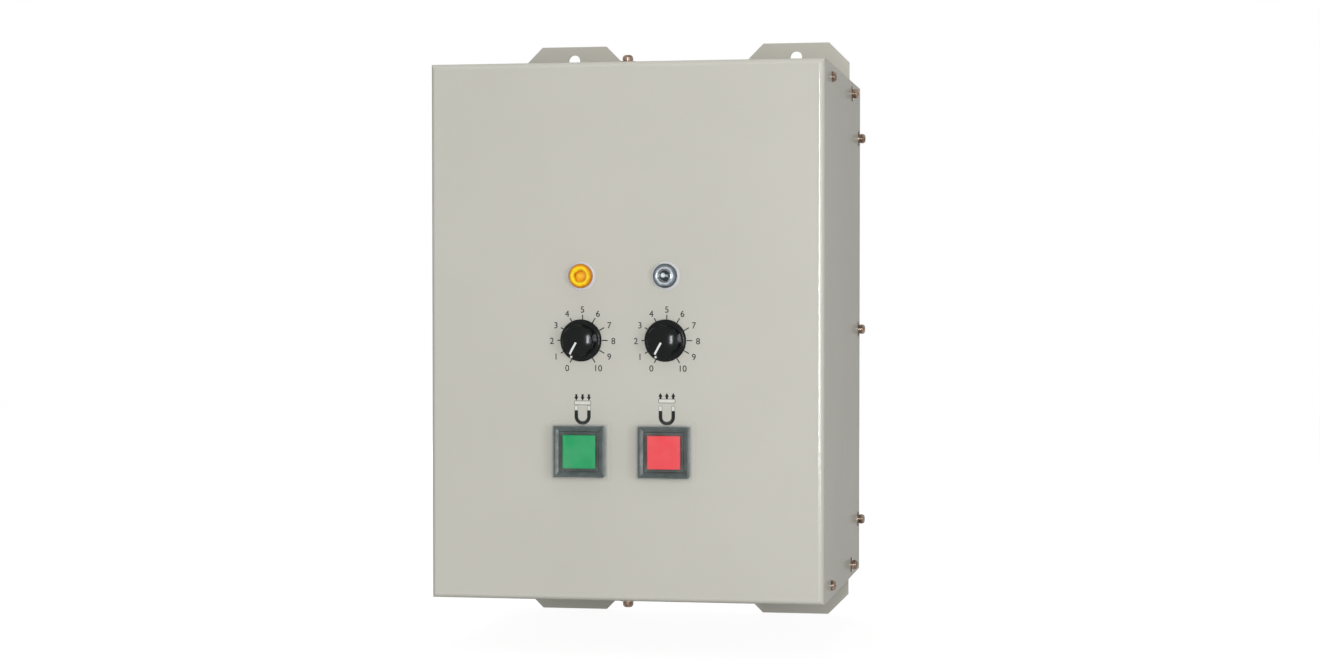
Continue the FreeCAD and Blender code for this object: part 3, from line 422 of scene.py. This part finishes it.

# Pilot lamps: an amber one and a clear one, each in a clear collar.
# The moulded lens has a raised ring round a shallow well; its colour is painted in bright and dark
# rings, painted highlights and painted shade for the light its inner steps catch. Behind the panel sit
# a black holder and its ring nut.


def make_from_axis():
    """Distance from the line along Y through a centre, in metres."""
    group, given, out = new_group("from_axis", (("Centre", "Vector"),), (("Radius", "Float"),))
    place = group.nodes.new("ShaderNodeTexCoord").outputs["Object"]
    shift = group.nodes.new("ShaderNodeVectorMath")
    shift.operation = "SUBTRACT"
    group.links.new(place, shift.inputs[0])
    group.links.new(given.outputs["Centre"], shift.inputs[1])
    flat = group.nodes.new("ShaderNodeVectorMath")
    flat.operation = "MULTIPLY"
    flat.inputs[1].default_value = (1, 0, 1)
    group.links.new(shift.outputs["Vector"], flat.inputs[0])
    length = group.nodes.new("ShaderNodeVectorMath")
    length.operation = "LENGTH"
    group.links.new(flat.outputs["Vector"], length.inputs[0])
    group.links.new(length.outputs["Value"], out.inputs["Radius"])
    return group


from_axis = make_from_axis()


def middle(node):
    """Middle of a CAD node's box."""
    low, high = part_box(node)
    return (low + high) / 2


def radius_from(tree, centre):
    """Distance from the line along Y through a centre, as a socket."""
    axis = tree.nodes.new("ShaderNodeGroup")
    axis.node_tree = from_axis
    axis.inputs["Centre"].default_value = centre
    return axis.outputs["Radius"]


well_r = 0.0040
ring_wander = 0.22
# Painted shade: how fast the painted dark crescent in each lens well fades in.
shade_crescent_slope = 1400.0
lens_steps = 5200.0
lens_step_depth = 0.00005


def lens(name, node, painted_rings, shade_crescent, shade_crescent_from, smooth, rough):
    """Lens painted with (radius, colour) bands of painted highlight and painted shade, and a painted
    dark crescent of shade in its well on the side of an offset.
    """
    material, tree, shader = new_material(name)
    low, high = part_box(node)
    full = (high.x - low.x) / 2
    out = radius_from(tree, middle(node))
    place = tree.nodes.new("ShaderNodeTexCoord").outputs["Object"]
    wander = math_node(tree, "SUBTRACT", noise(tree, place, 350.0, 2.0), 0.5)
    wobble = math_node(tree, "MULTIPLY", wander, ring_wander)
    radius = math_node(tree, "ADD", math_node(tree, "DIVIDE", out, full), wobble)
    ramp = tree.nodes.new("ShaderNodeValToRGB")
    steps = ramp.color_ramp.elements
    while len(steps) < len(painted_rings):
        steps.new(0.5)
    for step, (at, colour) in zip(steps, painted_rings):
        step.position = at / full
        step.color = colour
    tree.links.new(radius, ramp.inputs["Fac"])
    # Painted shade: a dark crescent mixed into the well's colour, standing for shade and dark
    # reflection inside the lens.
    offset, dark = shade_crescent
    crescent_shade_mask = math_node(tree, "SUBTRACT", radius_from(tree, middle(node) - Vector(offset)), shade_crescent_from)
    crescent_shade_mask = math_node(tree, "MINIMUM", math_node(tree, "MULTIPLY", crescent_shade_mask, shade_crescent_slope), 1.0)
    crescent_shade_mask = math_node(tree, "MULTIPLY", math_node(tree, "MAXIMUM", crescent_shade_mask, 0.0),
                     math_node(tree, "LESS_THAN", radius, well_r / full))
    tree.links.new(mix_colour(tree, crescent_shade_mask, ramp.outputs["Color"], dark), shader.inputs["Base Color"])
    gloss = spread(tree, noise(tree, place, 900.0, 2.0), smooth, rough)
    tree.links.new(gloss, shader.inputs["Roughness"])
    waves = math_node(tree, "SINE", math_node(tree, "MULTIPLY", out, lens_steps))
    add_relief(tree, shader, waves, lens_step_depth)
    shader.inputs["Coat Roughness"].default_value = 0.05
    return material, shader


# Painted highlights and painted shade: these bright and dark ring colours stand for light caught and
# lost in the lens's moulded steps.
amber_painted_rings = ((0.0, linear(248, 204, 44)), (0.0020, linear(242, 176, 24)),
               (0.0034, linear(234, 150, 14)), (0.0042, linear(214, 128, 14)),
               (0.0049, linear(255, 230, 44)), (0.0066, linear(255, 216, 20)),
               (0.0077, linear(232, 150, 8)), (0.0090, linear(196, 116, 14)))
clear_painted_rings = ((0.0, linear(214, 220, 224)), (0.0019, linear(190, 198, 204)),
               (0.0030, linear(236, 240, 242)), (0.0042, linear(190, 196, 200)),
               (0.0048, linear(84, 92, 100)), (0.0058, linear(206, 212, 216)),
               (0.0070, linear(120, 130, 138)), (0.0090, linear(60, 70, 78)))
# The last tuple of each lens gives its painted dark crescent of shade.
amber_lens, amber_shader = lens("amber_lens", "left_lamp_lens", amber_painted_rings,
                                ((-0.0010, 0, 0.0010), linear(196, 108, 14)), 0.0038, 0.08, 0.16)
clear_lens, clear_shader = lens("clear_lens", "right_lamp_lens", clear_painted_rings,
                                ((0.0012, 0, -0.0004), linear(16, 30, 38)), 0.0014, 0.06, 0.14)
amber_shader.inputs["Specular IOR Level"].default_value = 0.1
amber_shader.inputs["Coat Weight"].default_value = 0.25
clear_shader.inputs["Specular IOR Level"].default_value = 0.2
clear_shader.inputs["Coat Weight"].default_value = 0.6
clear_shader.inputs["Metallic"].default_value = 0.55

swell_scale = 110.0
film_change = 0.02


def clear_skin(name, tint, face, rim, smooth, rough, depth):
    """Clear moulding seen as a faint film face on and as a paler one at its rims."""
    material, tree, shader = new_material(name)
    shader.inputs["Base Color"].default_value = tint
    place = tree.nodes.new("ShaderNodeTexCoord").outputs["Object"]
    swell = noise(tree, place, swell_scale, 2.0)
    edge = tree.nodes.new("ShaderNodeLayerWeight")
    edge.inputs["Blend"].default_value = 0.25
    cloud = spread(tree, swell, 0.0, film_change)
    film = math_node(tree, "MULTIPLY", edge.outputs["Facing"], rim - face)
    film = math_node(tree, "ADD", math_node(tree, "ADD", film, face), cloud)
    tree.links.new(film, shader.inputs["Alpha"])
    tree.links.new(spread(tree, swell, smooth, rough), shader.inputs["Roughness"])
    add_relief(tree, shader, swell, depth)
    return material


collar_skin = clear_skin("clear_collar", linear(250, 251, 255), 0.45, 0.45, 0.05, 0.15, 0.0002)
panel_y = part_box("front_cover")[0].y
panel_gap = 0.0001
collar_r = 0.0110
collar_hole_r = 0.0070
collar_rim_h = 0.0008
collar_h = 0.0020
collar_top = 0.87
collar_edge = 0.0004


def keep_selected(pieces):
    """Nothing but these objects selected, the first of them active."""
    bpy.ops.object.select_all(action="DESELECT")
    for piece in pieces:
        piece.select_set(True)
    bpy.context.view_layer.objects.active = pieces[0]


def apply_modifier(piece, kind, **settings):
    """Add a modifier with its settings and apply it."""
    modifier = piece.modifiers.new(kind.lower(), kind)
    for name, value in settings.items():
        setattr(modifier, name, value)
    keep_selected([piece])
    bpy.ops.object.modifier_apply(modifier=modifier.name)


def select_where(test):
    """In edit mode, select just the points whose place passes the test."""
    bpy.ops.mesh.select_mode(type="VERT")
    bpy.ops.mesh.select_all(action="DESELECT")
    mesh = bmesh.from_edit_mesh(bpy.context.object.data)
    for point in mesh.verts:
        point.select = test(point.co)
    mesh.select_flush(True)
    bmesh.update_edit_mesh(bpy.context.object.data)


def place_in_mesh(piece):
    """Move an object's place, turn and size into its mesh."""
    keep_selected([piece])
    bpy.ops.object.transform_apply(location=True, rotation=True, scale=True)


def finish_piece(piece, name, material):
    """Name and dress a finished piece that rides on the case."""
    piece.name = name
    piece.data.materials.clear()
    piece.data.materials.append(material)
    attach(piece, "case")
    piece.select_set(False)
    return piece


def join_as(name, parts, material):
    """Join finished parts into one piece."""
    for part in parts:
        place_in_mesh(part)
    keep_selected(parts)
    bpy.ops.object.join()
    return finish_piece(bpy.context.object, name, material)


def lamp_collar(node):
    """Clear ring round a lens: a disc drawn up to a rim, tapered to its top and pierced."""
    centre = middle(node)
    centre.y = panel_y - panel_gap
    bpy.ops.mesh.primitive_circle_add(vertices=96, radius=collar_r, fill_type="NGON", location=centre,
                                      rotation=(math.pi / 2, 0, 0))
    ring = bpy.context.object
    place_in_mesh(ring)
    bpy.ops.object.mode_set(mode="EDIT")
    bpy.ops.mesh.select_mode(type="FACE")
    bpy.ops.mesh.select_all(action="SELECT")
    bpy.ops.mesh.inset(thickness=collar_r - collar_hole_r)
    bpy.ops.mesh.delete(type="FACE")
    bpy.ops.mesh.select_all(action="SELECT")
    bpy.ops.mesh.extrude_region_move(TRANSFORM_OT_translate={"value": (0, panel_gap - collar_rim_h, 0)})
    bpy.ops.mesh.extrude_region_move(TRANSFORM_OT_translate={"value": (0, collar_rim_h - collar_h, 0)})
    bpy.ops.transform.resize(value=(collar_top, 1, collar_top), center_override=centre)
    bpy.ops.mesh.select_all(action="SELECT")
    bpy.ops.mesh.normals_make_consistent(inside=False)
    bpy.ops.object.mode_set(mode="OBJECT")
    apply_modifier(ring, "BEVEL", width=collar_edge, segments=3, limit_method="ANGLE",
                   angle_limit=math.radians(25))
    bpy.ops.object.shade_smooth_by_angle(angle=math.radians(40))
    return ring


collars = join_as("lamp_collars", [lamp_collar(side + "_lamp_lens") for side in ("left", "right")],
                  collar_skin)
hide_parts("lamp_bezels")
dress(amber_lens, "left_lamp_lens")
dress(clear_lens, "right_lamp_lens")
dress(black_moulding, "lamp_bodies", "lamp_nuts")

# Dials: a potentiometer behind the panel, its shaft, and a fluted knob with a skirt.
# The knob is polished black phenolic with faint flow marks and a white filled pointer.

turned_steel = metal("turned_steel", linear(200, 200, 202), linear(168, 169, 172), (300, 4000, 300),
                     0.15, 0.3, 0.000005)
phenolic = grained("black_phenolic", linear(20, 23, 22), linear(12, 15, 14),
                   grain=0.0011, blotch=0.006, smooth=0.10, rough=0.15, depth=0.000004,
                   Specular_IOR_Level=0.15)
white_fill = grained("white_paint_fill", linear(238, 238, 236), linear(222, 222, 218),
                     grain=0.0003, blotch=0.003, smooth=0.4, rough=0.55, depth=0.00002)
dress(nickel, "potentiometers", "pot_nuts")
dress(zinc, "pot_washers")
dress(turned_steel, "left_shaft", "right_shaft", "left_grub_screw", "right_grub_screw")
dress(phenolic, "left_knob", "right_knob")
dress(white_fill, "left_pointer", "right_pointer")

# Dial scales, screen printed on the panel in dark grey ink.
# Eleven ticks run round each knob, 30 degrees apart, from 0 at the lower left to 10.
# The stencil sits a little to the right of the shafts.

ink = 0.00003
print_shift = 0.0008
tick_w = 0.00080
tick_from = 0.0150
tick_to = 0.0193
digit_ring = 0.0236
digit_size = 0.0067
digit_bold = 0.00007
digit_flatten = 0.3
digit_drop = 0.0007
tick_step = math.radians(30)
dark_ink = grained("dark_ink", linear(36, 36, 35), linear(28, 28, 28), Specular_IOR_Level=0.15,
                   grain=0.0002, blotch=0.004, smooth=0.4, rough=0.55, depth=0.000003)


def tick(x, z, turn):
    """One radial tick, as a thin bar."""
    ring = (tick_from + tick_to) / 2
    at = (x + ring * math.sin(turn), panel_y - ink / 2, z + ring * math.cos(turn))
    bpy.ops.mesh.primitive_cube_add(size=1, location=at, rotation=(0, turn, 0),
                                    scale=(tick_w, ink, tick_to - tick_from))
    return bpy.context.object


def digit(body, x, z, turn):
    """Upright number on the digit ring, as a thin solid."""
    digit_z = z - digit_drop + digit_ring * math.cos(turn)
    at = (x + digit_ring * math.sin(turn), panel_y - ink / 2, digit_z)
    bpy.ops.object.text_add(location=at, rotation=(math.pi / 2, 0, 0))
    text = bpy.context.object
    text.data.body = body
    text.data.size = digit_size
    text.data.extrude = ink / 2
    text.data.align_x = "CENTER"
    text.data.align_y = "CENTER"
    text.data.resolution_u = 4
    bpy.ops.object.convert(target="MESH")
    bpy.ops.object.mode_set(mode="EDIT")
    bpy.ops.mesh.select_all(action="SELECT")
    bpy.ops.mesh.remove_doubles(threshold=1e-7)
    bpy.ops.transform.shrink_fatten(value=digit_bold)
    bpy.ops.transform.resize(value=(1, digit_flatten, 1), center_override=at)
    bpy.ops.object.mode_set(mode="OBJECT")
    return bpy.context.object


for side in ("left", "right"):
    centre = middle(side + "_knob")
    scale_x = centre.x + print_shift
    marks = []
    for number in range(11):
        turn = (number - 5) * tick_step
        marks.append(tick(scale_x, centre.z, turn))
        marks.append(digit(str(number), scale_x, centre.z, turn))
    join_as(side + "_dial_scale", marks, dark_ink)

# Magnet signs above the buttons, printed in the same ink.
# Left, three arrows press a bar on a horseshoe magnet; right, they lift it off.

arrow_pitch = 0.00485
arrow_shaft_w = 0.0016
arrow_head_w = 0.0032
arrow_shaft = 0.0020
arrow_head = 0.0028
arrow_tip = 0.04
bar_w = 0.0130
bar_h = 0.0033
bar_corner = 0.0007
pole_top = -0.0551
pole_h = 0.0040
pole_corner = 0.0004
magnet_half_w = 0.0062
magnet_leg = 0.0027
magnet_h = 0.0107
bend_steps = 20
outline = 0.0004
pole_outline = 0.00028
white_ink = grained("white_ink", linear(218, 217, 208), linear(210, 209, 200),
                    grain=0.0002, blotch=0.004, smooth=0.4, rough=0.55, depth=0.000003)
grey_ink = grained("grey_ink", linear(82, 81, 78), linear(74, 73, 70),
                   grain=0.0002, blotch=0.004, smooth=0.4, rough=0.55, depth=0.000003)


def flat_tile(x, z, w, h, lift):
    """Flat rectangle that faces -Y, its place already in its mesh."""
    bpy.ops.mesh.primitive_plane_add(size=1, location=(x, panel_y - lift, z),
                                     rotation=(math.pi / 2, 0, 0))
    piece = bpy.context.object
    piece.scale = (w, h, 1)
    place_in_mesh(piece)
    return piece


def thicken(piece, lift):
    """Give a flat print its thickness, back to the panel."""
    apply_modifier(piece, "SOLIDIFY", thickness=lift, offset=-1)
    return piece


def rounded_tile(x, z, w, h, lift, radius):
    """Printed rectangle with rounded corners."""
    piece = flat_tile(x, z, w, h, lift)
    bpy.ops.object.mode_set(mode="EDIT")
    bpy.ops.mesh.select_all(action="SELECT")
    bpy.ops.mesh.bevel(offset=radius, segments=3, affect="VERTICES")
    bpy.ops.object.mode_set(mode="OBJECT")
    return thicken(piece, lift)


def arrow(x, tail_z, up):
    """Printed arrow: a shaft whose end edge is drawn out into a wide head and closed to a point."""
    piece = flat_tile(x, tail_z + up * arrow_shaft / 2, arrow_shaft_w, arrow_shaft, ink)
    neck_z = tail_z + up * arrow_shaft
    tip_z = neck_z + up * arrow_head
    bpy.ops.object.mode_set(mode="EDIT")
    select_where(lambda p: abs(p.z - neck_z) < 1e-6)
    bpy.ops.mesh.extrude_region_move(TRANSFORM_OT_translate={"value": (0, 0, 0)})
    bpy.ops.transform.resize(value=(arrow_head_w / arrow_shaft_w, 1, 1),
                             center_override=(x, panel_y, neck_z))
    bpy.ops.mesh.extrude_region_move(TRANSFORM_OT_translate={"value": (0, 0, up * arrow_head)})
    bpy.ops.transform.resize(value=(arrow_tip, 1, 1), center_override=(x, panel_y, tip_z))
    bpy.ops.mesh.select_all(action="SELECT")
    bpy.ops.mesh.remove_doubles(threshold=1e-7)
    bpy.ops.mesh.normals_make_consistent(inside=False)
    bpy.ops.object.mode_set(mode="OBJECT")
    return thicken(piece, ink)


def horseshoe(x, top_z):
    """Printed U: one leg, spun half a turn round the bend and drawn up again."""
    bend_z = top_z - magnet_h + magnet_half_w
    leg_x = x - magnet_half_w + magnet_leg / 2
    piece = flat_tile(leg_x, (top_z + bend_z) / 2, magnet_leg, top_z - bend_z, ink)
    bpy.ops.object.mode_set(mode="EDIT")
    select_where(lambda p: abs(p.z - bend_z) < 1e-6)
    bpy.ops.mesh.spin(steps=bend_steps, angle=math.pi, center=(x, panel_y, bend_z), axis=(0, 1, 0))
    bpy.ops.mesh.extrude_region_move(TRANSFORM_OT_translate={"value": (0, 0, top_z - bend_z)})
    bpy.ops.mesh.select_all(action="SELECT")
    bpy.ops.mesh.remove_doubles(threshold=1e-7)
    bpy.ops.mesh.normals_make_consistent(inside=False)
    bpy.ops.object.mode_set(mode="OBJECT")
    return thicken(piece, ink)


for side, up, arrow_z, bar_z in (("left", -1, -0.0468, -0.0533), ("right", 1, -0.0503, -0.0515)):
    x = middle(side + "_button_housing").x + print_shift
    black = [arrow(x + step * arrow_pitch, arrow_z, up) for step in (-1, 0, 1)]
    black.append(horseshoe(x, pole_top - pole_h))
    grey = [rounded_tile(x, bar_z, bar_w, bar_h, ink, bar_corner)]
    white = [rounded_tile(x, bar_z, bar_w - 2 * outline, bar_h - 2 * outline, 2 * ink,
                          bar_corner - outline)]
    for pole in (-1, 1):
        pole_x = x + pole * (magnet_half_w - magnet_leg / 2)
        pole_z = pole_top - pole_h / 2
        grey.append(rounded_tile(pole_x, pole_z, magnet_leg, pole_h, ink, pole_corner))
        white.append(rounded_tile(pole_x, pole_z, magnet_leg - 2 * pole_outline,
                                  pole_h - 2 * pole_outline, 2 * ink, pole_corner / 2))
    join_as(side + "_sign_black", black, dark_ink)
    join_as(side + "_sign_outline", grey, grey_ink)
    join_as(side + "_sign_white", white, white_ink)

# Push buttons: a grey bezel with a dished face, a coloured cap on a black plunger,
# a return spring, and a switch block behind. The caps are translucent coloured mouldings.

throat_half = 0.0152
# Painted highlight: a paler tone for the bezel's throat, standing for light caught on its inner walls.
painted_throat_highlight = linear(88, 98, 94)


def bezel_moulding():
    """Dark glossy moulding with a slightly wavy skin, and its throat painted paler as a painted
    highlight of light caught on its walls.
    """
    material = grained("bezel_moulding", linear(70, 82, 80), linear(50, 62, 60),
                       grain=0.0030, blotch=0.006, smooth=0.10, rough=0.22, depth=0.00025)
    tree = material.node_tree
    left, right = middle("left_button_housing"), middle("right_button_housing")
    place = tree.nodes.new("ShaderNodeSeparateXYZ")
    tree.links.new(tree.nodes.new("ShaderNodeTexCoord").outputs["Object"], place.inputs["Vector"])
    across = math_node(tree, "SUBTRACT", place.outputs["X"], (left.x + right.x) / 2)
    across = math_node(tree, "SUBTRACT", math_node(tree, "ABSOLUTE", across), (right.x - left.x) / 2)
    across = math_node(tree, "ABSOLUTE", across)
    upright = math_node(tree, "ABSOLUTE", math_node(tree, "SUBTRACT", place.outputs["Z"], left.z))
    # Painted highlight: the throat region takes the paler painted tone.
    painted_throat_mask = math_node(tree, "LESS_THAN", math_node(tree, "MAXIMUM", across, upright), throat_half)
    shader = tree.nodes["Principled BSDF"]
    moulded = shader.inputs["Base Color"].links[0].from_socket
    tone = mix_colour(tree, painted_throat_mask, moulded, painted_throat_highlight)
    tree.links.new(tone, shader.inputs["Base Color"])
    return material


bezel = bezel_moulding()
green_cap = grained("green_cap", linear(44, 166, 104), linear(38, 158, 96),
                    grain=0.0009, blotch=0.008, smooth=0.22, rough=0.34, depth=0.000006,
                    Specular_IOR_Level=0.15)
red_cap = grained("red_cap", linear(240, 84, 90), linear(234, 74, 80),
                  grain=0.0009, blotch=0.008, smooth=0.22, rough=0.34, depth=0.000006,
                  Specular_IOR_Level=0.15)
dress(bezel, "left_button_housing", "right_button_housing")
dress(green_cap, "green_cap")
dress(red_cap, "red_cap")
dress(black_moulding, "green_plunger", "red_plunger", "lock_nuts", "contact_blocks")

# Return springs, cold wound from bright wire with their ends ground flat.
# Each stands on its switch block.

spring_wire_r = 0.00045
spring_turns = 4
turn_steps = 28
spring_steel = metal("spring_steel", linear(196, 197, 200), linear(150, 152, 156), (260, 2600, 260),
                     0.18, 0.34, 0.000006)


def coil_spring(colour):
    """Wire section swept round and along the coil's axis, closed at its ends."""
    low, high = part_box(colour + "_spring")
    centre = (low + high) / 2
    coil_r = (high.x - low.x) / 2 - spring_wire_r
    rise = high.y - low.y - 2 * spring_wire_r
    bpy.ops.mesh.primitive_circle_add(vertices=10, radius=spring_wire_r, location=(coil_r, 0, 0),
                                      rotation=(math.pi / 2, 0, 0))
    piece = bpy.context.object
    place_in_mesh(piece)
    apply_modifier(piece, "SCREW", axis="Z", iterations=spring_turns, steps=turn_steps,
                   render_steps=turn_steps, screw_offset=rise / spring_turns)
    bpy.ops.object.mode_set(mode="EDIT")
    bpy.ops.mesh.select_all(action="SELECT")
    bpy.ops.mesh.remove_doubles(threshold=1e-7)
    bpy.ops.mesh.fill_holes(sides=0)
    bpy.ops.mesh.select_all(action="SELECT")
    bpy.ops.mesh.normals_make_consistent(inside=False)
    bpy.ops.object.mode_set(mode="OBJECT")
    piece.rotation_euler = (math.pi / 2, 0, 0)
    piece.location = (centre.x, high.y - spring_wire_r, centre.z)
    place_in_mesh(piece)
    bpy.ops.object.shade_smooth_by_angle(angle=math.radians(50))
    finish_piece(piece, colour + "_coil", spring_steel)
    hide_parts(colour + "_spring")
    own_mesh(piece)


coil_spring("green")
coil_spring("red")

# Clear silicone boots over the bezels, clamped by the housings.
# The skin is soft and a little wavy, so its highlights wander along the rims.

boot_wall = 0.0010
boot_rim = 0.0461
boot_rim_corner = 0.0030
boot_flange = 0.0026
boot_foot = 0.0011
boot_h = 0.0127
boot_taper = 0.976
boot_round = 0.0016
silicone = clear_skin("boot_silicone", linear(240, 246, 246), 0.0, 0.38, 0.10, 0.22, 0.0009)


def boot(side):
    """Clear cover: a rounded flange on the panel, drawn up over the bezel and given its wall."""
    centre = middle(side + "_button_housing")
    centre.y = panel_y - boot_foot
    bpy.ops.mesh.primitive_plane_add(size=boot_rim, location=centre, rotation=(math.pi / 2, 0, 0))
    piece = bpy.context.object
    place_in_mesh(piece)
    bpy.ops.object.mode_set(mode="EDIT")
    bpy.ops.mesh.select_all(action="SELECT")
    bpy.ops.mesh.bevel(offset=boot_rim_corner, segments=4, affect="VERTICES")
    bpy.ops.mesh.select_mode(type="FACE")
    bpy.ops.mesh.select_all(action="SELECT")
    bpy.ops.mesh.inset(thickness=boot_flange)
    bpy.ops.mesh.extrude_region_move(TRANSFORM_OT_translate={"value": (0, boot_foot - boot_h, 0)})
    bpy.ops.transform.resize(value=(boot_taper, 1, boot_taper), center_override=centre)
    bpy.ops.object.mode_set(mode="OBJECT")
    apply_modifier(piece, "BEVEL", width=boot_round, segments=4, limit_method="ANGLE",
                   angle_limit=math.radians(60))
    apply_modifier(piece, "SOLIDIFY", thickness=boot_wall, offset=-1)
    bpy.ops.object.shade_smooth_by_angle(angle=math.radians(40))
    finish_piece(piece, side + "_boot_skin", silicone)
    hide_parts(side + "_button_boot")


boot("left")
boot("right")

# Floor of the studio, in matt white board that the lower ears stand on.
# Seen by the camera it is as white as the room, and it keeps a faint shadow of the box.

floor_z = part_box("back_plate")[0].z
floor_w = 8.0
plain_share = 0.8
plain_strength = 1.18


def floor_board():
    """White board that shows most of itself as plain white, and the rest as lit."""
    material, tree, shader = new_material("floor_board")
    shader.inputs["Roughness"].default_value = 0.9
    place = tree.nodes.new("ShaderNodeTexCoord").outputs["Object"]
    tone = mix_colour(tree, noise(tree, place, 6.0, 2.0), (0.48, 0.48, 0.47, 1),
                      (0.52, 0.52, 0.51, 1))
    tree.links.new(tone, shader.inputs["Base Color"])
    plain = tree.nodes.new("ShaderNodeEmission")
    plain.inputs["Color"].default_value = (1, 1, 1, 1)
    plain.inputs["Strength"].default_value = plain_strength
    paths = tree.nodes.new("ShaderNodeLightPath")
    direct = math_node(tree, "MAXIMUM", paths.outputs["Is Camera Ray"], paths.outputs["Is Glossy Ray"])
    seen = math_node(tree, "MULTIPLY", direct, plain_share)
    blend = tree.nodes.new("ShaderNodeMixShader")
    tree.links.new(seen, blend.inputs[0])
    tree.links.new(shader.outputs["BSDF"], blend.inputs[1])
    tree.links.new(plain.outputs["Emission"], blend.inputs[2])
    tree.links.new(blend.outputs["Shader"], tree.nodes["Material Output"].inputs["Surface"])
    return material


bpy.ops.mesh.primitive_plane_add(size=floor_w, location=(0, 0, floor_z))
floor = bpy.context.object
floor.name = "studio_floor"
floor.data.materials.append(floor_board())

# Room and its lights: an even pale room, white to the camera and in reflections,
# with softboxes round the box. Those behind a diffuser don't show in its gloss.

lit = 0.36
room = bpy.data.worlds.new("room")
bpy.context.scene.world = room
room.use_nodes = True
room_tree = room.node_tree
background = room_tree.nodes["Background"]
background.inputs["Color"].default_value = (1, 1, 1, 1)
room_paths = room_tree.nodes.new("ShaderNodeLightPath")
seen = math_node(room_tree, "MAXIMUM", room_paths.outputs["Is Camera Ray"],
                 room_paths.outputs["Is Transmission Ray"])
seen = math_node(room_tree, "MAXIMUM", seen, room_paths.outputs["Is Glossy Ray"])
strength = math_node(room_tree, "ADD", lit, math_node(room_tree, "MULTIPLY", seen, 1.0 - lit))
room_tree.links.new(strength, background.inputs["Strength"])


def softbox(name, place, target, width, height, power, tint, mirrored):
    """Rectangular area light that faces a target; a diffuser keeps some out of reflections."""
    light = bpy.data.lights.new(name, "AREA")
    light.shape = "RECTANGLE"
    light.size = width
    light.size_y = height
    light.energy = power
    light.color = tint
    lamp = bpy.data.objects.new(name, light)
    bpy.context.scene.collection.objects.link(lamp)
    ahead = (target[0] - place[0], target[1] - place[1], target[2] - place[2])
    flat = math.hypot(ahead[0], ahead[1])
    lamp.location = place
    lamp.visible_glossy = mirrored
    lamp.rotation_euler = (math.pi / 2 + math.atan2(ahead[2], flat), 0,
                           math.atan2(-ahead[0], ahead[1]))


panel_middle = (0, -0.265, 0)
softbox("front_light", (0.6, -2.0, 0.0), panel_middle, 0.8, 0.8, 7.5, (1, 1, 1), False)
softbox("window_light", (0.36, -2.5, -0.05), panel_middle, 0.16, 0.85, 24.0, (0.93, 0.97, 1), True)
softbox("right_light", (0.9, -1.3, -0.05), panel_middle, 0.2, 0.6, 3.0, (1, 1, 1), True)
softbox("top_light", (-0.2, 0.0, 2.4), (0, 0, 0), 1.2, 1.2, 20.0, (1, 1, 1), False)
softbox("back_light", (-0.9, 2.3, 0.6), (0, 0, 0), 1.2, 1.2, 26.0, (1, 1, 1), False)

# Camera: on the panel's right, a little above its middle, and almost level.
# Its lens and shift give the photograph's frame.

eye = (0.352, -2.048, 0.020)
yaw = math.radians(10.08)
pitch = math.radians(-1.55)
image_w = 1320.0
image_h = 660.0
focal_px = 2425.0
sensor_w = 36.0
centre_px = (671.0, 371.0)

camera_data = bpy.data.cameras.new("camera")
camera_data.sensor_width = sensor_w
camera_data.lens = focal_px / image_w * sensor_w
camera_data.shift_x = (image_w / 2 - centre_px[0]) / image_w
camera_data.shift_y = (centre_px[1] - image_h / 2) / image_w
camera = bpy.data.objects.new("camera", camera_data)
bpy.context.scene.collection.objects.link(camera)
camera.location = eye
camera.rotation_euler = (math.pi / 2 + pitch, 0, yaw)
bpy.context.scene.camera = camera
bpy.context.scene.view_settings.view_transform = "Standard"
